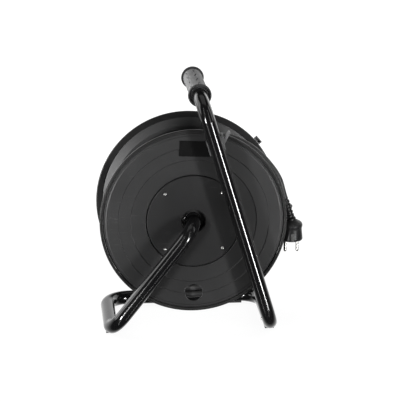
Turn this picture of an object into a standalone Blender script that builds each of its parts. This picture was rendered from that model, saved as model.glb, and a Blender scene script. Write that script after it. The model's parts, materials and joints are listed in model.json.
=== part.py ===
# Extension cord reel: a 290 mm drum of rubber cable on a stand bent from one steel tube.
# Metres, +Z up. The origin is on the floor under the middle of the stand, the drum and its clips.
# -Y is the plain rear side, +Y the socket side. Positions below are measured from the point
# where the drum's axis crosses the plane of the rear rim, and two empties carry them there.
import math
import bpy
import bmesh
from mathutils import Matrix, Vector

for old in list(bpy.data.objects):
    bpy.data.objects.remove(old, do_unlink=True)

# ---- driving sizes ----
seat_gap = 0.0003           # between pieces that touch
running_gap = 0.0005        # between pieces that turn or slide on each other

drum_radius = 0.145
drum_width = 0.130          # rear rim face to front rim face
plate_face = 0.0018         # how far the plate's face lies inside the rim face, near the core
flange_inside = 0.005       # rim face to the face that the winding lies against
rim_edge = 0.0034           # rim face to the back of the rim's outer edge
core_radius = 0.0757
core_wall = 0.002
gate_width = 0.019          # of the notch in the core's rear end, where the cord comes in
gate_length = 0.0165
clamp_half_width = 0.008
clamp_length = 0.018
clamp_height = 0.015
clamp_from_flange = 0.0007
disc_radius = 0.073         # rear cover disc and socket panel
disc_clearance = 0.0005
disc_thickness = 0.0026
ledge_thickness = 0.0028    # the ring behind the disc, which its screws hold
rear_ledge_radius = 0.056
front_ledge_radius = 0.0675
step_radii = (0.097, 0.1165)
step_height = 0.0006
groove_radius = 0.1396
groove_width = 0.0012
chamfer_radius = 0.1346
lip_radius = 0.1405
sight_hole_radius = 0.014
sight_hole_from_axis = 0.1155

tube_radius = 0.011
tube_wall = 0.0015
axis_to_tube_bottom = 0.1760
foot_height = 0.0015        # rubber under the tube
leg_plane = -0.030          # the near legs' middle plane
base_far = 0.136            # middle of the far base tube
base_left = -0.1300
base_right = 0.1190
grip_across = 0.0103
grip_above = 0.1960
axle_end = 0.112
hub_bend = 0.034
foot_bend = 0.032
far_bend = 0.038
grip_bend = 0.034

foot_length = 0.024
foot_width = 0.014
foot_rise = 0.0045          # how far the foot climbs the tube's sides
foot_from_bend = 0.010      # of the near feet
far_foot_from_bend = 0.004
rivet_radius = 0.0022
hook_above = 0.131
hook_thickness = 0.0105
hook_behind_leg = 0.004
hook_outline = [            # across and above, from the leg's middle line
    (-0.0126, -0.0190), (0.0112, -0.0190), (0.0140, -0.0060), (0.0165, -0.0040),
    (0.0272, 0.0075), (0.0250, 0.0100), (0.0160, 0.0014), (0.0155, 0.0014),
    (0.0152, 0.0092), (0.0125, 0.0092), (0.0120, 0.0040), (-0.0126, 0.0040),
]

grip_start = 0.008
grip_length = 0.135
grip_radius = 0.0148
collar_radius = 0.018
collar_width = 0.005

hub_hole_radius = 0.019
hub_recess_depth = 0.014
bush_length = 0.020
bush_wall = 0.0036
hub_wall = 0.0025
boss_back = 0.0285          # front rim face to the back of the cavity for the axle's bolt
bolt_room = 0.0165          # that cavity's radius
washer_radius = 0.0155
washer_thickness = 0.0015
bolt_radius = 0.003
bolt_head_radius = 0.0065
bolt_head_height = 0.005
bolt_length = 0.020
insert_length = 0.016       # in the axle's end, which the bolt screws into

socket_count = 3
socket_from_axis = 0.0435
socket_radius = 0.0225
well_radius = 0.0197
well_depth = 0.017
well_floor = 0.004
pin_pitch = 0.019
lid_radius = 0.0232
lid_thickness = 0.003
hinge_from_socket = 0.0258
hinge_radius = 0.0024
hinge_pin_radius = 0.0012
barrel_length = 0.013
ear_width = 0.003
spring_length = 0.004
button_radius = 0.005
button_from_axis = 0.052
button_travel = 0.002
button_stands = 0.0038      # out of the panel
cutout_radius = 0.008
cutout_depth = 0.015

knob_from_axis = 0.108
knob_angle = math.radians(150)
knob_radius = 0.014
knob_length = 0.034
knob_pin_radius = 0.004
cover_screw_from_axis = 0.0625
panel_screw_from_axis = 0.0655
screw_boss_radius = 0.0045
terminal_from_axis = 0.044
screw_radius = 0.0019
screw_head_radius = 0.0030
screw_head_height = 0.0020
screw_length = 0.0120

cord_diameter = 0.0100
cord_length = 25.0
turns_per_layer = 9.6
full_layers = 4
layer_gap = 0.0006          # left between layers
lead_length = 0.207         # of the cord between the winding and the plug
turn_points = 24
winding_side_gap = 0.0012
exit_angle = math.radians(100)

plug_across = 0.155
plug_depth = 0.025          # rear rim face to the plug's middle
plug_clip_above = 0.0110    # the axis
plug_clip_height = 0.0090
plug_clip_thickness = 0.0030
plug_clip_past = 0.0060     # of the arm's end past the relief's middle
plug_clip_tip = 0.0034
plug_face = -0.041          # the plug's face, below the axis
plug_top = -0.0080
plug_radius = 0.0178
plug_pin_radius = 0.0024
plug_pin_length = 0.019
relief_lean = math.radians(16)
relief_length = 0.033
relief_radius = 0.0070
neck_radius = 0.0082         # of the plug, under the bend relief
neck_height = 0.0028
relief_ribs = 5

large_sides = 32            # of the flanges, the panel and the core
small_sides = 8             # of screws and rivets

# ---- places worked out from them ----
axis_height = axis_to_tube_bottom + foot_height
base_level = tube_radius - axis_to_tube_bottom
front_face = drum_width
rear_reach = leg_plane - tube_radius
front_reach = front_face + knob_length
middle = (rear_reach + front_reach) / 2
foot_spots = {              # across, depth, and the way that the tube runs there
    'near_left': (base_left, leg_plane + foot_bend + foot_from_bend, 'Y'),
    'far_left': (base_left + far_bend + far_foot_from_bend, base_far, 'X'),
    'far_right': (base_right - far_bend - far_foot_from_bend, base_far, 'X'),
    'near_right': (base_right, leg_plane + foot_bend + foot_from_bend, 'Y'),
}

disc_face = plate_face - step_height                # from the rim face, on either side
disc_back = disc_face + disc_thickness
ledge_face = disc_back + seat_gap
panel_face = front_face
panel_back = front_face - disc_back
socket_front = panel_face + 0.002
hinge_depth = socket_front + running_gap + lid_thickness / 2
socket_angles = [math.pi / 2 + number * math.tau / socket_count for number in range(socket_count)]
screw_angles = [angle + math.pi / socket_count for angle in socket_angles]
button_angle = screw_angles[-1]

cord_radius = cord_diameter / 2
layer_rise = cord_diameter + layer_gap
under_radius = core_radius + seat_gap + cord_radius + layer_rise * (full_layers - 1)
top_radius = under_radius + layer_rise
winding_start = flange_inside + winding_side_gap + cord_radius
winding_end = front_face - flange_inside - winding_side_gap - cord_radius
turn_pitch = (winding_end - winding_start) / turns_per_layer
full_length = sum(math.tau * turns_per_layer * (under_radius - layer_rise * layer)
                  for layer in range(full_layers))
top_turns = (cord_length - lead_length - full_length) / (math.tau * top_radius)

neck_foot = Vector((plug_across - 0.0010, plug_depth, plug_top))
relief_way = Vector((-math.sin(relief_lean), 0, math.cos(relief_lean)))
relief_foot = neck_foot + relief_way * (neck_height + seat_gap)
relief_head = relief_foot + relief_way * relief_length
clip_middle = relief_foot.x + relief_way.x * (plug_clip_above - relief_foot.z) / relief_way.z
clip_reach = clip_middle + plug_clip_past
across_middle = (clip_reach + plug_clip_tip - drum_radius) / 2


# ---- materials ----
def material(name, colour, roughness, metallic=0.0):
    made = bpy.data.materials.new(name)
    made.use_nodes = True
    shader = made.node_tree.nodes['Principled BSDF']
    shader.inputs['Base Color'].default_value = (*colour, 1.0)
    shader.inputs['Roughness'].default_value = roughness
    shader.inputs['Metallic'].default_value = metallic
    return made


finishes = {
    'painted_steel': ((0.012, 0.012, 0.013), 0.18, 0.0),
    'drum_plastic': ((0.050, 0.050, 0.052), 0.45, 0.0),
    'black_plastic': ((0.018, 0.018, 0.019), 0.40, 0.0),
    'grip_plastic': ((0.300, 0.300, 0.300), 0.50, 0.0),
    'cable_rubber': ((0.022, 0.022, 0.023), 0.60, 0.0),
    'foot_rubber': ((0.020, 0.020, 0.020), 0.80, 0.0),
    'zinc_steel': ((0.620, 0.620, 0.600), 0.30, 1.0),
    'nickel_brass': ((0.700, 0.690, 0.660), 0.22, 1.0),
    'bush_nylon': ((0.420, 0.410, 0.380), 0.50, 0.0),
}


# ---- carriers ----
def empty(name, place, parent=None):
    made = bpy.data.objects.new(name, None)
    made.location = place
    made.parent = parent
    made.empty_display_size = 0.02
    bpy.context.collection.objects.link(made)
    return made


stand = empty('stand_middle', (-across_middle, -middle, axis_height))
drum = empty('drum_axis', (-across_middle, -middle, axis_height))


# ---- making shapes ----
def place(name, mesh, finish, parent, at=(0, 0, 0), turn=(0, 0, 0)):
    colour, roughness, metallic = finishes[finish]
    mesh.materials.clear()
    mesh.materials.append(material(name + '_finish', colour, roughness, metallic))
    mesh.shade_smooth()
    mesh.set_sharp_from_angle(angle=math.radians(32))
    made = bpy.data.objects.new(name, mesh)
    made.location = at
    made.rotation_euler = turn
    made.parent = parent
    bpy.context.collection.objects.link(made)
    return made


def finish_mesh(shape, name):
    bmesh.ops.remove_doubles(shape, verts=shape.verts, dist=0.00002)
    bmesh.ops.recalc_face_normals(shape, faces=shape.faces)
    mesh = bpy.data.meshes.new(name)
    shape.to_mesh(mesh)
    shape.free()
    return mesh


def turned(name, outline, sides=20, axis='Y'):
    # The outline runs as (radius, distance along the axis). It closes on itself, unless it
    # starts and ends on the axis.
    shape = bmesh.new()
    corners = []
    for radius, along in outline:
        spot = (radius, along, 0) if axis == 'Y' else (radius, 0, along)
        corners.append(shape.verts.new(spot))
    edges = [shape.edges.new(pair) for pair in zip(corners, corners[1:])]
    if outline[0][0] > 0:
        edges.append(shape.edges.new((corners[-1], corners[0])))
    direction = (0, 1, 0) if axis == 'Y' else (0, 0, 1)
    bmesh.ops.spin(shape, geom=corners + edges, cent=(0, 0, 0), axis=direction,
                   angle=math.tau, steps=sides, use_merge=True, use_duplicate=False)
    bmesh.ops.dissolve_degenerate(shape, dist=0.00001, edges=shape.edges)
    return finish_mesh(shape, name)


def block(name, low, high):
    shape = bmesh.new()
    bmesh.ops.create_cube(shape, size=1)
    size = Vector(high) - Vector(low)
    centre = (Vector(high) + Vector(low)) / 2
    bmesh.ops.scale(shape, vec=size, verts=shape.verts)
    bmesh.ops.translate(shape, vec=centre, verts=shape.verts)
    return finish_mesh(shape, name)


def plate(name, outline, thickness):
    # An outline in X and Z, extruded along +Y.
    shape = bmesh.new()
    face = shape.faces.new([shape.verts.new((x, 0, z)) for x, z in outline])
    grown = bmesh.ops.extrude_face_region(shape, geom=[face])
    moved = [item for item in grown['geom'] if isinstance(item, bmesh.types.BMVert)]
    bmesh.ops.translate(shape, vec=(0, thickness, 0), verts=moved)
    return finish_mesh(shape, name)


def rod(radius, low, high):
    return [(0, low), (radius, low), (radius, high), (0, high)]


def helper(name, mesh, parent, at=(0, 0, 0), turn=(0, 0, 0)):
    made = bpy.data.objects.new(name, mesh)
    made.location = at
    made.rotation_euler = turn
    made.parent = parent
    made.hide_render = True
    made.display_type = 'WIRE'
    bpy.context.collection.objects.link(made)
    return made


def change(target, tool, operation):
    modifier = target.modifiers.new(tool.name, 'BOOLEAN')
    modifier.operation = operation
    modifier.solver = 'EXACT'
    modifier.object = tool


def cut(target, tool):
    change(target, tool, 'DIFFERENCE')


def join(target, tool):
    change(target, tool, 'UNION')


def around(angle, radius, depth=0.0):
    return Vector((radius * math.cos(angle), depth, radius * math.sin(angle)))


def tube(name, points, radius, sides_step, finish, parent, wall=0.0):
    curve = bpy.data.curves.new(name, 'CURVE')
    curve.dimensions = '3D'
    curve.bevel_depth = radius
    curve.bevel_resolution = sides_step
    curve.use_fill_caps = wall == 0
    line = curve.splines.new('POLY')
    line.points.add(len(points) - 1)
    for spot, point in zip(line.points, points):
        spot.co = (*point, 1)
    colour, roughness, metallic = finishes[finish]
    curve.materials.append(material(name + '_finish', colour, roughness, metallic))
    made = bpy.data.objects.new(name, curve)
    made.parent = parent
    bpy.context.collection.objects.link(made)
    if wall:
        modifier = made.modifiers.new('wall', 'SOLIDIFY')
        modifier.thickness = wall
        modifier.offset = -1
    return made


def bent_path(corners, radii, pieces=6):
    # Straight runs joined by round bends, as a tube bender makes them.
    points = [Vector(corners[0])]
    for before, corner, after, radius in zip(corners, corners[1:], corners[2:], radii):
        inward = (Vector(before) - Vector(corner)).normalized()
        outward = (Vector(after) - Vector(corner)).normalized()
        half = inward.angle(outward) / 2
        reach = radius / math.tan(half)
        centre = Vector(corner) + (inward + outward).normalized() * radius / math.sin(half)
        start = Vector(corner) + inward * reach - centre
        sweep = math.pi - 2 * half
        spin_axis = start.cross(Vector(corner) + outward * reach - centre).normalized()
        for step in range(pieces + 1):
            points.append(centre + Matrix.Rotation(sweep * step / pieces, 3, spin_axis) @ start)
    points.append(Vector(corners[-1]))
    return points


def smooth_path(knots, spacing):
    # A smooth curve through the knots, read at even distances.
    fine = []
    ends = [knots[0] * 2 - knots[1]] + knots + [knots[-1] * 2 - knots[-2]]
    for first, start, end, last in zip(ends, ends[1:], ends[2:], ends[3:]):
        for step in range(20):
            t = step / 20
            fine.append(0.5 * (2 * start + (end - first) * t
                               + (2 * first - 5 * start + 4 * end - last) * t ** 2
                               + (3 * start - first - 3 * end + last) * t ** 3))
    fine.append(knots[-1])
    length = sum((b - a).length for a, b in zip(fine, fine[1:]))
    count = max(2, round(length / spacing))
    points, walked, target = [fine[0]], 0.0, length / count
    for a, b in zip(fine, fine[1:]):
        stretch = (b - a).length
        while walked + stretch >= target and len(points) < count:
            points.append(a.lerp(b, (target - walked) / stretch))
            target += length / count
        walked += stretch
    return points + [fine[-1]]


# ---- the stand: one bent tube, its grip, its feet and the hook on its leg ----
def make_frame_tube():
    corners = [(0, axle_end, 0), (0, leg_plane, 0), (base_left, leg_plane, base_level),
               (base_left, base_far, base_level), (base_right, base_far, base_level),
               (base_right, leg_plane, base_level), (grip_across, leg_plane, grip_above),
               (grip_across, grip_start + grip_length - collar_width / 2 - seat_gap, grip_above)]
    radii = [hub_bend, foot_bend, far_bend, far_bend, foot_bend, grip_bend]
    tube('frame_tube', bent_path(corners, radii), tube_radius, 4, 'painted_steel', stand, tube_wall)


def make_grip():
    centre = (grip_across, grip_start, grip_above)
    bore = tube_radius + seat_gap
    edge = 0.0008
    half = collar_width / 2
    collar = [(bore, half), (bore + 0.002, half), (bore + 0.0035, 0), (collar_radius - edge, 0),
              (collar_radius, edge), (collar_radius, collar_width - edge),
              (collar_radius - edge, collar_width), (bore, collar_width)]
    place('grip_collar', turned('grip_collar', collar), 'black_plastic', stand, centre)
    sleeve = [(bore, collar_width + seat_gap), (grip_radius, collar_width + seat_gap),
              (grip_radius, grip_length - collar_width - seat_gap),
              (bore, grip_length - collar_width - seat_gap)]
    place('grip_sleeve', turned('grip_sleeve', sleeve), 'grip_plastic', stand, centre)
    cap = [(0, grip_length - half), (bore, grip_length - half), (bore, grip_length - collar_width),
           (collar_radius - edge, grip_length - collar_width),
           (collar_radius, grip_length - collar_width + edge),
           (collar_radius, grip_length - edge), (collar_radius - edge, grip_length),
           (0, grip_length)]
    place('grip_end_cap', turned('grip_end_cap', cap), 'black_plastic', stand, centre)


def make_feet():
    floor = -axis_height
    for spot, (across, depth, run) in foot_spots.items():
        half_x, half_y = foot_length / 2, foot_width / 2
        if run == 'Y':
            half_x, half_y = half_y, half_x
        pad_mesh = block('foot', (-half_x, -half_y, 0), (half_x, half_y, foot_rise))
        pad = place('foot_' + spot, pad_mesh, 'foot_rubber', stand, (across, depth, floor))
        groove = turned('groove', rod(tube_radius + seat_gap, -foot_length, foot_length), 48)
        turn = (0, 0, 0) if run == 'Y' else (0, 0, math.pi / 2)
        cut(pad, helper('foot_groove_' + spot, groove, pad,
                        (0, 0, tube_radius + foot_height), turn))
        # The rivet's head is on the side of the tube that faces into the stand.
        inward = Vector((0, -1, 0)) if run == 'X' else Vector((-math.copysign(1, across), 0, 0))
        head = [(0, 0), (rivet_radius, 0), (rivet_radius * 0.8, 0.0008),
                (rivet_radius * 0.4, 0.0012), (0, 0.0013)]
        seat = Vector((across, depth, base_level)) + inward * (tube_radius + seat_gap)
        turn = (0, 0, math.pi) if run == 'X' else (0, 0, -math.copysign(math.pi / 2, inward.x))
        place('foot_rivet_' + spot, turned('rivet', head, small_sides), 'zinc_steel', stand, seat, turn)


def leg_across(above):
    share = (above - base_level) / (grip_above - base_level)
    return base_right + (grip_across - base_right) * share


def make_leg_hook():
    # A plastic clip behind the right leg, with a V fork for a loop of cord or the plug.
    lean = math.atan2(base_right - grip_across, grip_above - base_level)
    clip = place('leg_hook', plate('leg_hook', hook_outline, hook_thickness), 'black_plastic',
                 stand, (leg_across(hook_above), leg_plane + hook_behind_leg, hook_above),
                 (0, -lean, 0))
    bed = turned('bed', rod(tube_radius + seat_gap, -hook_above / 3, hook_above / 3), 48, 'Z')
    cut(clip, helper('leg_hook_bed', bed, clip, (0, -hook_behind_leg, 0)))


# ---- the drum ----
def flange_outline(ledge_radius):
    # From the core outwards along the outer face, then back along the winding's face.
    bore = disc_radius + disc_clearance
    outline = [(bore, plate_face)]
    face = plate_face
    for radius in step_radii:
        outline += [(radius, face), (radius + step_height, face - step_height)]
        face -= step_height
    outline += [(chamfer_radius, face), (chamfer_radius + 0.0014, face + 0.0009),
                (groove_radius - groove_width / 2, face + 0.0009),
                (groove_radius, face + 0.0022),
                (groove_radius + groove_width / 2, face + 0.0009),
                (lip_radius, 0.0003), (drum_radius - 0.0014, 0), (drum_radius, 0.0011),
                (drum_radius, rim_edge), (drum_radius - 0.0015, rim_edge + 0.0006),
                (chamfer_radius + 0.0020, flange_inside - 0.0004),
                (chamfer_radius, flange_inside),
                (core_radius - core_wall - seat_gap, flange_inside),
                (core_radius - core_wall - seat_gap, ledge_face + ledge_thickness),
                (ledge_radius, ledge_face + ledge_thickness), (ledge_radius, ledge_face),
                (bore, ledge_face)]
    return outline


def mirrored(outline):
    return [(radius, front_face - along) for radius, along in outline]


def screw_outline(seat, outwards, length):
    # The head stands outwards from its seat, and the shank runs the other way.
    top = seat + outwards * screw_head_height
    return [(0, top), (screw_head_radius * 0.55, top - outwards * 0.0003),
            (screw_head_radius, seat + outwards * 0.0008), (screw_head_radius, seat),
            (screw_radius, seat), (screw_radius, seat - outwards * length),
            (0, seat - outwards * length)]


def make_rear_flange():
    mesh = turned('rear_flange', flange_outline(rear_ledge_radius), large_sides)
    flange = place('rear_flange', mesh, 'drum_plastic', drum)
    hole = turned('hole', rod(sight_hole_radius, -0.02, 0.02), 26)
    cut(flange, helper('sight_hole', hole, flange, around(-math.pi / 2, sight_hole_from_axis)))
    for number in range(4):
        angle = math.pi / 4 + number * math.pi / 2
        shank = turned('shank', rod(screw_radius + seat_gap, -0.02, 0.03), 12)
        cut(flange, helper(f'flange_screw_hole_{number + 1}', shank, flange,
                           around(angle, cover_screw_from_axis)))


def make_front_flange():
    mesh = turned('front_flange', mirrored(flange_outline(front_ledge_radius)), large_sides)
    flange = place('front_flange', mesh, 'drum_plastic', drum)
    pin_hole = turned('pin_hole', rod(knob_pin_radius + seat_gap, -0.02, 0.02), 16)
    cut(flange, helper('knob_pin_hole', pin_hole, flange,
                       around(knob_angle, knob_from_axis, front_face)))
    for number, angle in enumerate(screw_angles):
        # The panel's screws go into bosses on the ring behind it.
        spot = around(angle, panel_screw_from_axis, front_face)
        boss = turned('boss', rod(screw_boss_radius, -ledge_face - ledge_thickness, -ledge_face), 16)
        join(flange, helper(f'screw_boss_{number + 1}', boss, flange, spot))
        shank = turned('shank', rod(screw_radius + seat_gap, -0.02, 0.02), 12)
        cut(flange, helper(f'boss_hole_{number + 1}', shank, flange, spot))


def make_core():
    ends = flange_inside + seat_gap
    outline = [(core_radius - core_wall, ends), (core_radius, ends),
               (core_radius, front_face - ends), (core_radius - core_wall, front_face - ends)]
    core = place('drum_core', turned('drum_core', outline, large_sides), 'drum_plastic', drum)
    gate = block('gate', (-gate_width / 2, 0, -core_radius * 1.1),
                 (gate_width / 2, ends + gate_length, -core_radius * 0.9))
    cut(core, helper('cord_gate', gate, core))


def make_rear_cover():
    face = disc_face
    back = disc_back
    seat = tube_radius + running_gap + bush_wall + seat_gap
    shelf = face + hub_recess_depth
    end = shelf + bush_length
    outline = [(hub_hole_radius, face), (disc_radius - 0.0005, face), (disc_radius, face + 0.0005),
               (disc_radius, back), (hub_hole_radius + hub_wall, back),
               (hub_hole_radius + hub_wall, shelf + hub_wall),
               (seat + hub_wall, shelf + hub_wall + 0.003), (seat + hub_wall, end), (seat, end),
               (seat, shelf), (hub_hole_radius, shelf)]
    cover = place('rear_cover', turned('rear_cover', outline, large_sides), 'drum_plastic', drum)
    for number in range(4):
        angle = math.pi / 4 + number * math.pi / 2
        spot = around(angle, cover_screw_from_axis)
        shank = turned('shank', rod(screw_radius + seat_gap, -0.02, 0.03), 12)
        cut(cover, helper(f'cover_screw_hole_{number + 1}', shank, cover, spot))
        screw = turned('cover_screw', screw_outline(face - seat_gap, -1, screw_length), small_sides)
        place(f'cover_screw_{number + 1}', screw, 'zinc_steel', drum, spot)
    bore = tube_radius + running_gap
    bush = [(bore, shelf - 0.0012 - seat_gap), (bore + bush_wall + 0.0028, shelf - 0.0012 - seat_gap),
            (bore + bush_wall + 0.0028, shelf - seat_gap), (bore + bush_wall, shelf - seat_gap),
            (bore + bush_wall, end), (bore, end)]
    place('rear_bush', turned('rear_bush', bush, 20), 'bush_nylon', drum)
    washer_back = shelf - 0.0012 - seat_gap * 2
    washer = [(bore, washer_back - 0.0015), (hub_hole_radius - 0.001, washer_back - 0.0015),
              (hub_hole_radius - 0.001, washer_back), (bore, washer_back)]
    place('hub_washer', turned('hub_washer', washer, 24), 'zinc_steel', drum)


def upright(angle):
    # Turns a piece that was drawn at the top of the panel to its own place round the axis.
    return (0, math.pi / 2 - angle, 0)


def make_socket_panel():
    seat = tube_radius + running_gap + bush_wall + seat_gap
    cavity = front_face - boss_back
    start = cavity - bush_length
    back = panel_back
    outline = [(0, panel_face), (disc_radius - 0.0005, panel_face),
               (disc_radius, panel_face - 0.0005), (disc_radius, back),
               (bolt_room + hub_wall, back), (bolt_room + hub_wall, cavity - hub_wall),
               (seat + hub_wall, cavity - hub_wall - 0.001), (seat + hub_wall, start),
               (seat, start), (seat, cavity), (bolt_room, cavity),
               (bolt_room, panel_face - disc_thickness), (0, panel_face - disc_thickness)]
    panel = place('socket_panel', turned('socket_panel', outline, large_sides), 'black_plastic', drum)
    for number in range(socket_count):
        angle = socket_angles[number]
        hole = turned('hole', rod(socket_radius + seat_gap, -0.02, 0.02), 24)
        spot = around(angle, socket_from_axis, front_face)
        cut(panel, helper(f'socket_hole_{number + 1}', hole, panel, spot))
        for side in (-1, 1):
            low_x = side * (barrel_length / 2 + seat_gap)
            high_x = side * (barrel_length / 2 + seat_gap + ear_width)
            if side > 0:
                low_x += spring_length + seat_gap
                high_x += spring_length + seat_gap
            ear_mesh = block('ear', (min(low_x, high_x), panel_face - 0.001,
                                     socket_from_axis + hinge_from_socket - hinge_radius),
                             (max(low_x, high_x), hinge_depth + hinge_radius,
                              socket_from_axis + hinge_from_socket + hinge_radius))
            name = f'hinge_ear_{number + 1}_' + ('left' if side < 0 else 'right')
            join(panel, helper(name, ear_mesh, panel, (0, 0, 0), upright(socket_angles[number])))
        bore = turned('bore', rod(hinge_pin_radius + seat_gap, -0.03, 0.03), 12)
        carrier = empty(f'hinge_line_{number + 1}', (0, 0, 0), panel)
        carrier.rotation_euler = upright(socket_angles[number])
        cut(panel, helper(f'hinge_bore_{number + 1}', bore, carrier,
                          (0, hinge_depth, socket_from_axis + hinge_from_socket),
                          (0, 0, math.pi / 2)))
        shank = turned('shank', rod(screw_radius + seat_gap, -0.02, 0.02), 12)
        screw_spot = around(screw_angles[number], panel_screw_from_axis)
        cut(panel, helper(f'panel_screw_hole_{number + 1}', shank, panel,
                          screw_spot + Vector((0, front_face, 0))))
        screw = turned('panel_screw', screw_outline(panel_face + seat_gap, 1, screw_length * 0.7),
                       small_sides)
        place(f'panel_screw_{number + 1}', screw, 'zinc_steel', drum, screw_spot)
    button_hole = turned('button_hole', rod(button_radius + running_gap, -0.02, 0.02), 24)
    cut(panel, helper('button_hole', button_hole, panel,
                      around(button_angle, button_from_axis, front_face)))
    bore = tube_radius + running_gap
    bush = [(bore, start), (bore + bush_wall, start), (bore + bush_wall, cavity), (bore, cavity)]
    place('front_bush', turned('front_bush', bush, 20), 'bush_nylon', drum)


def make_sockets():
    for number in range(socket_count):
        spot = around(socket_angles[number], socket_from_axis)
        floor = socket_front - well_depth
        outline = [(0, floor - well_floor), (socket_radius, floor - well_floor),
                   (socket_radius, socket_front), (well_radius, socket_front),
                   (well_radius, floor), (0, floor)]
        mesh = turned('socket_insert', outline, 24)
        insert = place(f'socket_insert_{number + 1}', mesh, 'black_plastic', drum, spot,
                       upright(socket_angles[number]))
        for side in (-1, 1):
            hole = turned('pin_hole', rod(plug_pin_radius + seat_gap * 2, -0.01, 0.01), 12)
            name = f'contact_hole_{number + 1}_' + ('left' if side < 0 else 'right')
            cut(insert, helper(name, hole, insert, (side * pin_pitch / 2, floor, 0)))
        make_lid(number)


def make_lid(number):
    hinge = empty(f'lid_hinge_{number + 1}',
                  around(socket_angles[number], socket_from_axis + hinge_from_socket, hinge_depth),
                  drum)
    hinge.rotation_euler = upright(socket_angles[number])
    half = lid_thickness / 2
    dome = [(0, -half), (lid_radius, -half), (lid_radius, half * 0.3), (lid_radius - 0.0015, half),
            (0, half)]
    lid = place(f'socket_lid_{number + 1}', turned('socket_lid', dome, 24), 'black_plastic', hinge)
    for vertex in lid.data.vertices:
        vertex.co.z -= hinge_from_socket
    arm = block('arm', (-barrel_length / 2, -half, -hinge_from_socket + lid_radius - 0.004),
                (barrel_length / 2, half, 0))
    join(lid, helper(f'lid_arm_{number + 1}', arm, lid))
    barrel = turned('barrel', rod(hinge_radius, -barrel_length / 2, barrel_length / 2), 12)
    join(lid, helper(f'lid_barrel_{number + 1}', barrel, lid, (0, 0, 0), (0, 0, math.pi / 2)))
    bore = turned('bore', rod(hinge_pin_radius + seat_gap, -0.02, 0.02), 12)
    cut(lid, helper(f'lid_bore_{number + 1}', bore, lid, (0, 0, 0), (0, 0, math.pi / 2)))
    left = -barrel_length / 2 - seat_gap - ear_width
    right = barrel_length / 2 + seat_gap * 2 + spring_length + ear_width
    carrier = empty(f'pin_line_{number + 1}', hinge.location, drum)
    carrier.rotation_euler = upright(socket_angles[number])
    pin = turned('lid_pin', rod(hinge_pin_radius, left, right), 12)
    place(f'lid_pin_{number + 1}', pin, 'zinc_steel', carrier, (0, 0, 0), (0, 0, -math.pi / 2))
    coil = [(hinge_pin_radius + seat_gap, 0), (hinge_radius - 0.0002, 0),
            (hinge_radius - 0.0002, spring_length), (hinge_pin_radius + seat_gap, spring_length)]
    place(f'lid_spring_{number + 1}', turned('lid_spring', coil, 12), 'zinc_steel', carrier,
          (barrel_length / 2 + seat_gap, 0, 0), (0, 0, -math.pi / 2))


def make_cutout():
    spot = around(button_angle, button_from_axis)
    back = panel_back
    body = rod(cutout_radius, back - seat_gap - cutout_depth, back - seat_gap)
    place('thermal_cutout', turned('thermal_cutout', body, 24), 'black_plastic', drum, spot)
    start = back + button_travel
    top = panel_face + button_stands
    cap = [(0, start), (button_radius, start), (button_radius, top - 0.0008),
           (button_radius - 0.0008, top), (0, top)]
    place('reset_button', turned('reset_button', cap, 24), 'grip_plastic', drum, spot)


def make_inner_fittings():
    # The cord comes through the core's gate over a clamp, and its wires end in the terminals.
    back = panel_back
    flat = (core_radius - core_wall) * math.cos(math.pi / large_sides)
    seat = math.sqrt(flat ** 2 - clamp_half_width ** 2) - seat_gap
    low = ledge_face + ledge_thickness + clamp_from_flange
    clamp = place('cord_clamp', block('cord_clamp', (-clamp_half_width, low, -seat),
                                      (clamp_half_width, low + clamp_length, -seat + clamp_height)),
                  'black_plastic', drum)
    passage = turned('passage', rod(cord_radius + seat_gap * 2, -0.03, 0.03), 24)
    cut(clamp, helper('clamp_passage', passage, clamp, (0, low + clamp_length / 2, -seat),
                      (math.pi / 2, 0, 0)))
    spot = around(screw_angles[0], terminal_from_axis)
    low = spot + Vector((-0.009, back - seat_gap - 0.014, -0.007))
    high = spot + Vector((0.009, back - seat_gap, 0.007))
    place('terminal_block', block('terminal_block', low, high), 'bush_nylon', drum)
    near, far = axle_end + seat_gap, axle_end + seat_gap + washer_thickness
    washer = [(bolt_radius + seat_gap, near), (washer_radius, near), (washer_radius, far),
              (bolt_radius + seat_gap, far)]
    place('axle_washer', turned('axle_washer', washer, 24), 'zinc_steel', stand)
    under = far + seat_gap
    top = under + bolt_head_height
    bolt = [(0, top), (bolt_head_radius - 0.0005, top), (bolt_head_radius, top - 0.0008),
            (bolt_head_radius, under), (bolt_radius, under), (bolt_radius, under - bolt_length),
            (0, under - bolt_length)]
    place('axle_bolt', turned('axle_bolt', bolt, 6), 'zinc_steel', stand)
    bore = bolt_radius + seat_gap
    outside = tube_radius - tube_wall - seat_gap * 2
    insert = [(bore, axle_end - insert_length), (outside, axle_end - insert_length),
              (outside, axle_end), (bore, axle_end)]
    place('axle_insert', turned('axle_insert', insert, 24), 'zinc_steel', stand)


def make_knob():
    spot = around(knob_angle, knob_from_axis)
    base = front_face - disc_face + seat_gap
    tail = front_face - flange_inside + seat_gap
    top = front_face + knob_length
    collar = base + 0.0023
    head_low, head_top = top - 0.006, top - 0.003
    head_radius = knob_pin_radius + 0.002
    outline = [(0, tail), (knob_pin_radius, tail), (knob_pin_radius, base),
               (knob_pin_radius + 0.003, base), (knob_pin_radius + 0.003, collar),
               (knob_pin_radius, collar), (knob_pin_radius, head_low), (head_radius, head_low),
               (head_radius, head_top), (0, head_top)]
    place('knob_pin', turned('knob_pin', outline, 16), 'zinc_steel', drum, spot)
    low = collar + running_gap
    well = head_radius + running_gap
    bore = knob_pin_radius + running_gap
    handle = [(bore, low), (knob_radius * 0.62, low), (knob_radius * 0.80, low + 0.004),
              (knob_radius * 0.86, low + 0.014), (knob_radius, top - 0.006),
              (knob_radius * 0.94, top - 0.002), (knob_radius * 0.80, top), (well, top),
              (well, head_low - running_gap), (bore, head_low - running_gap)]
    place('crank_knob', turned('crank_knob', handle, 20), 'black_plastic', drum, spot)


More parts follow.
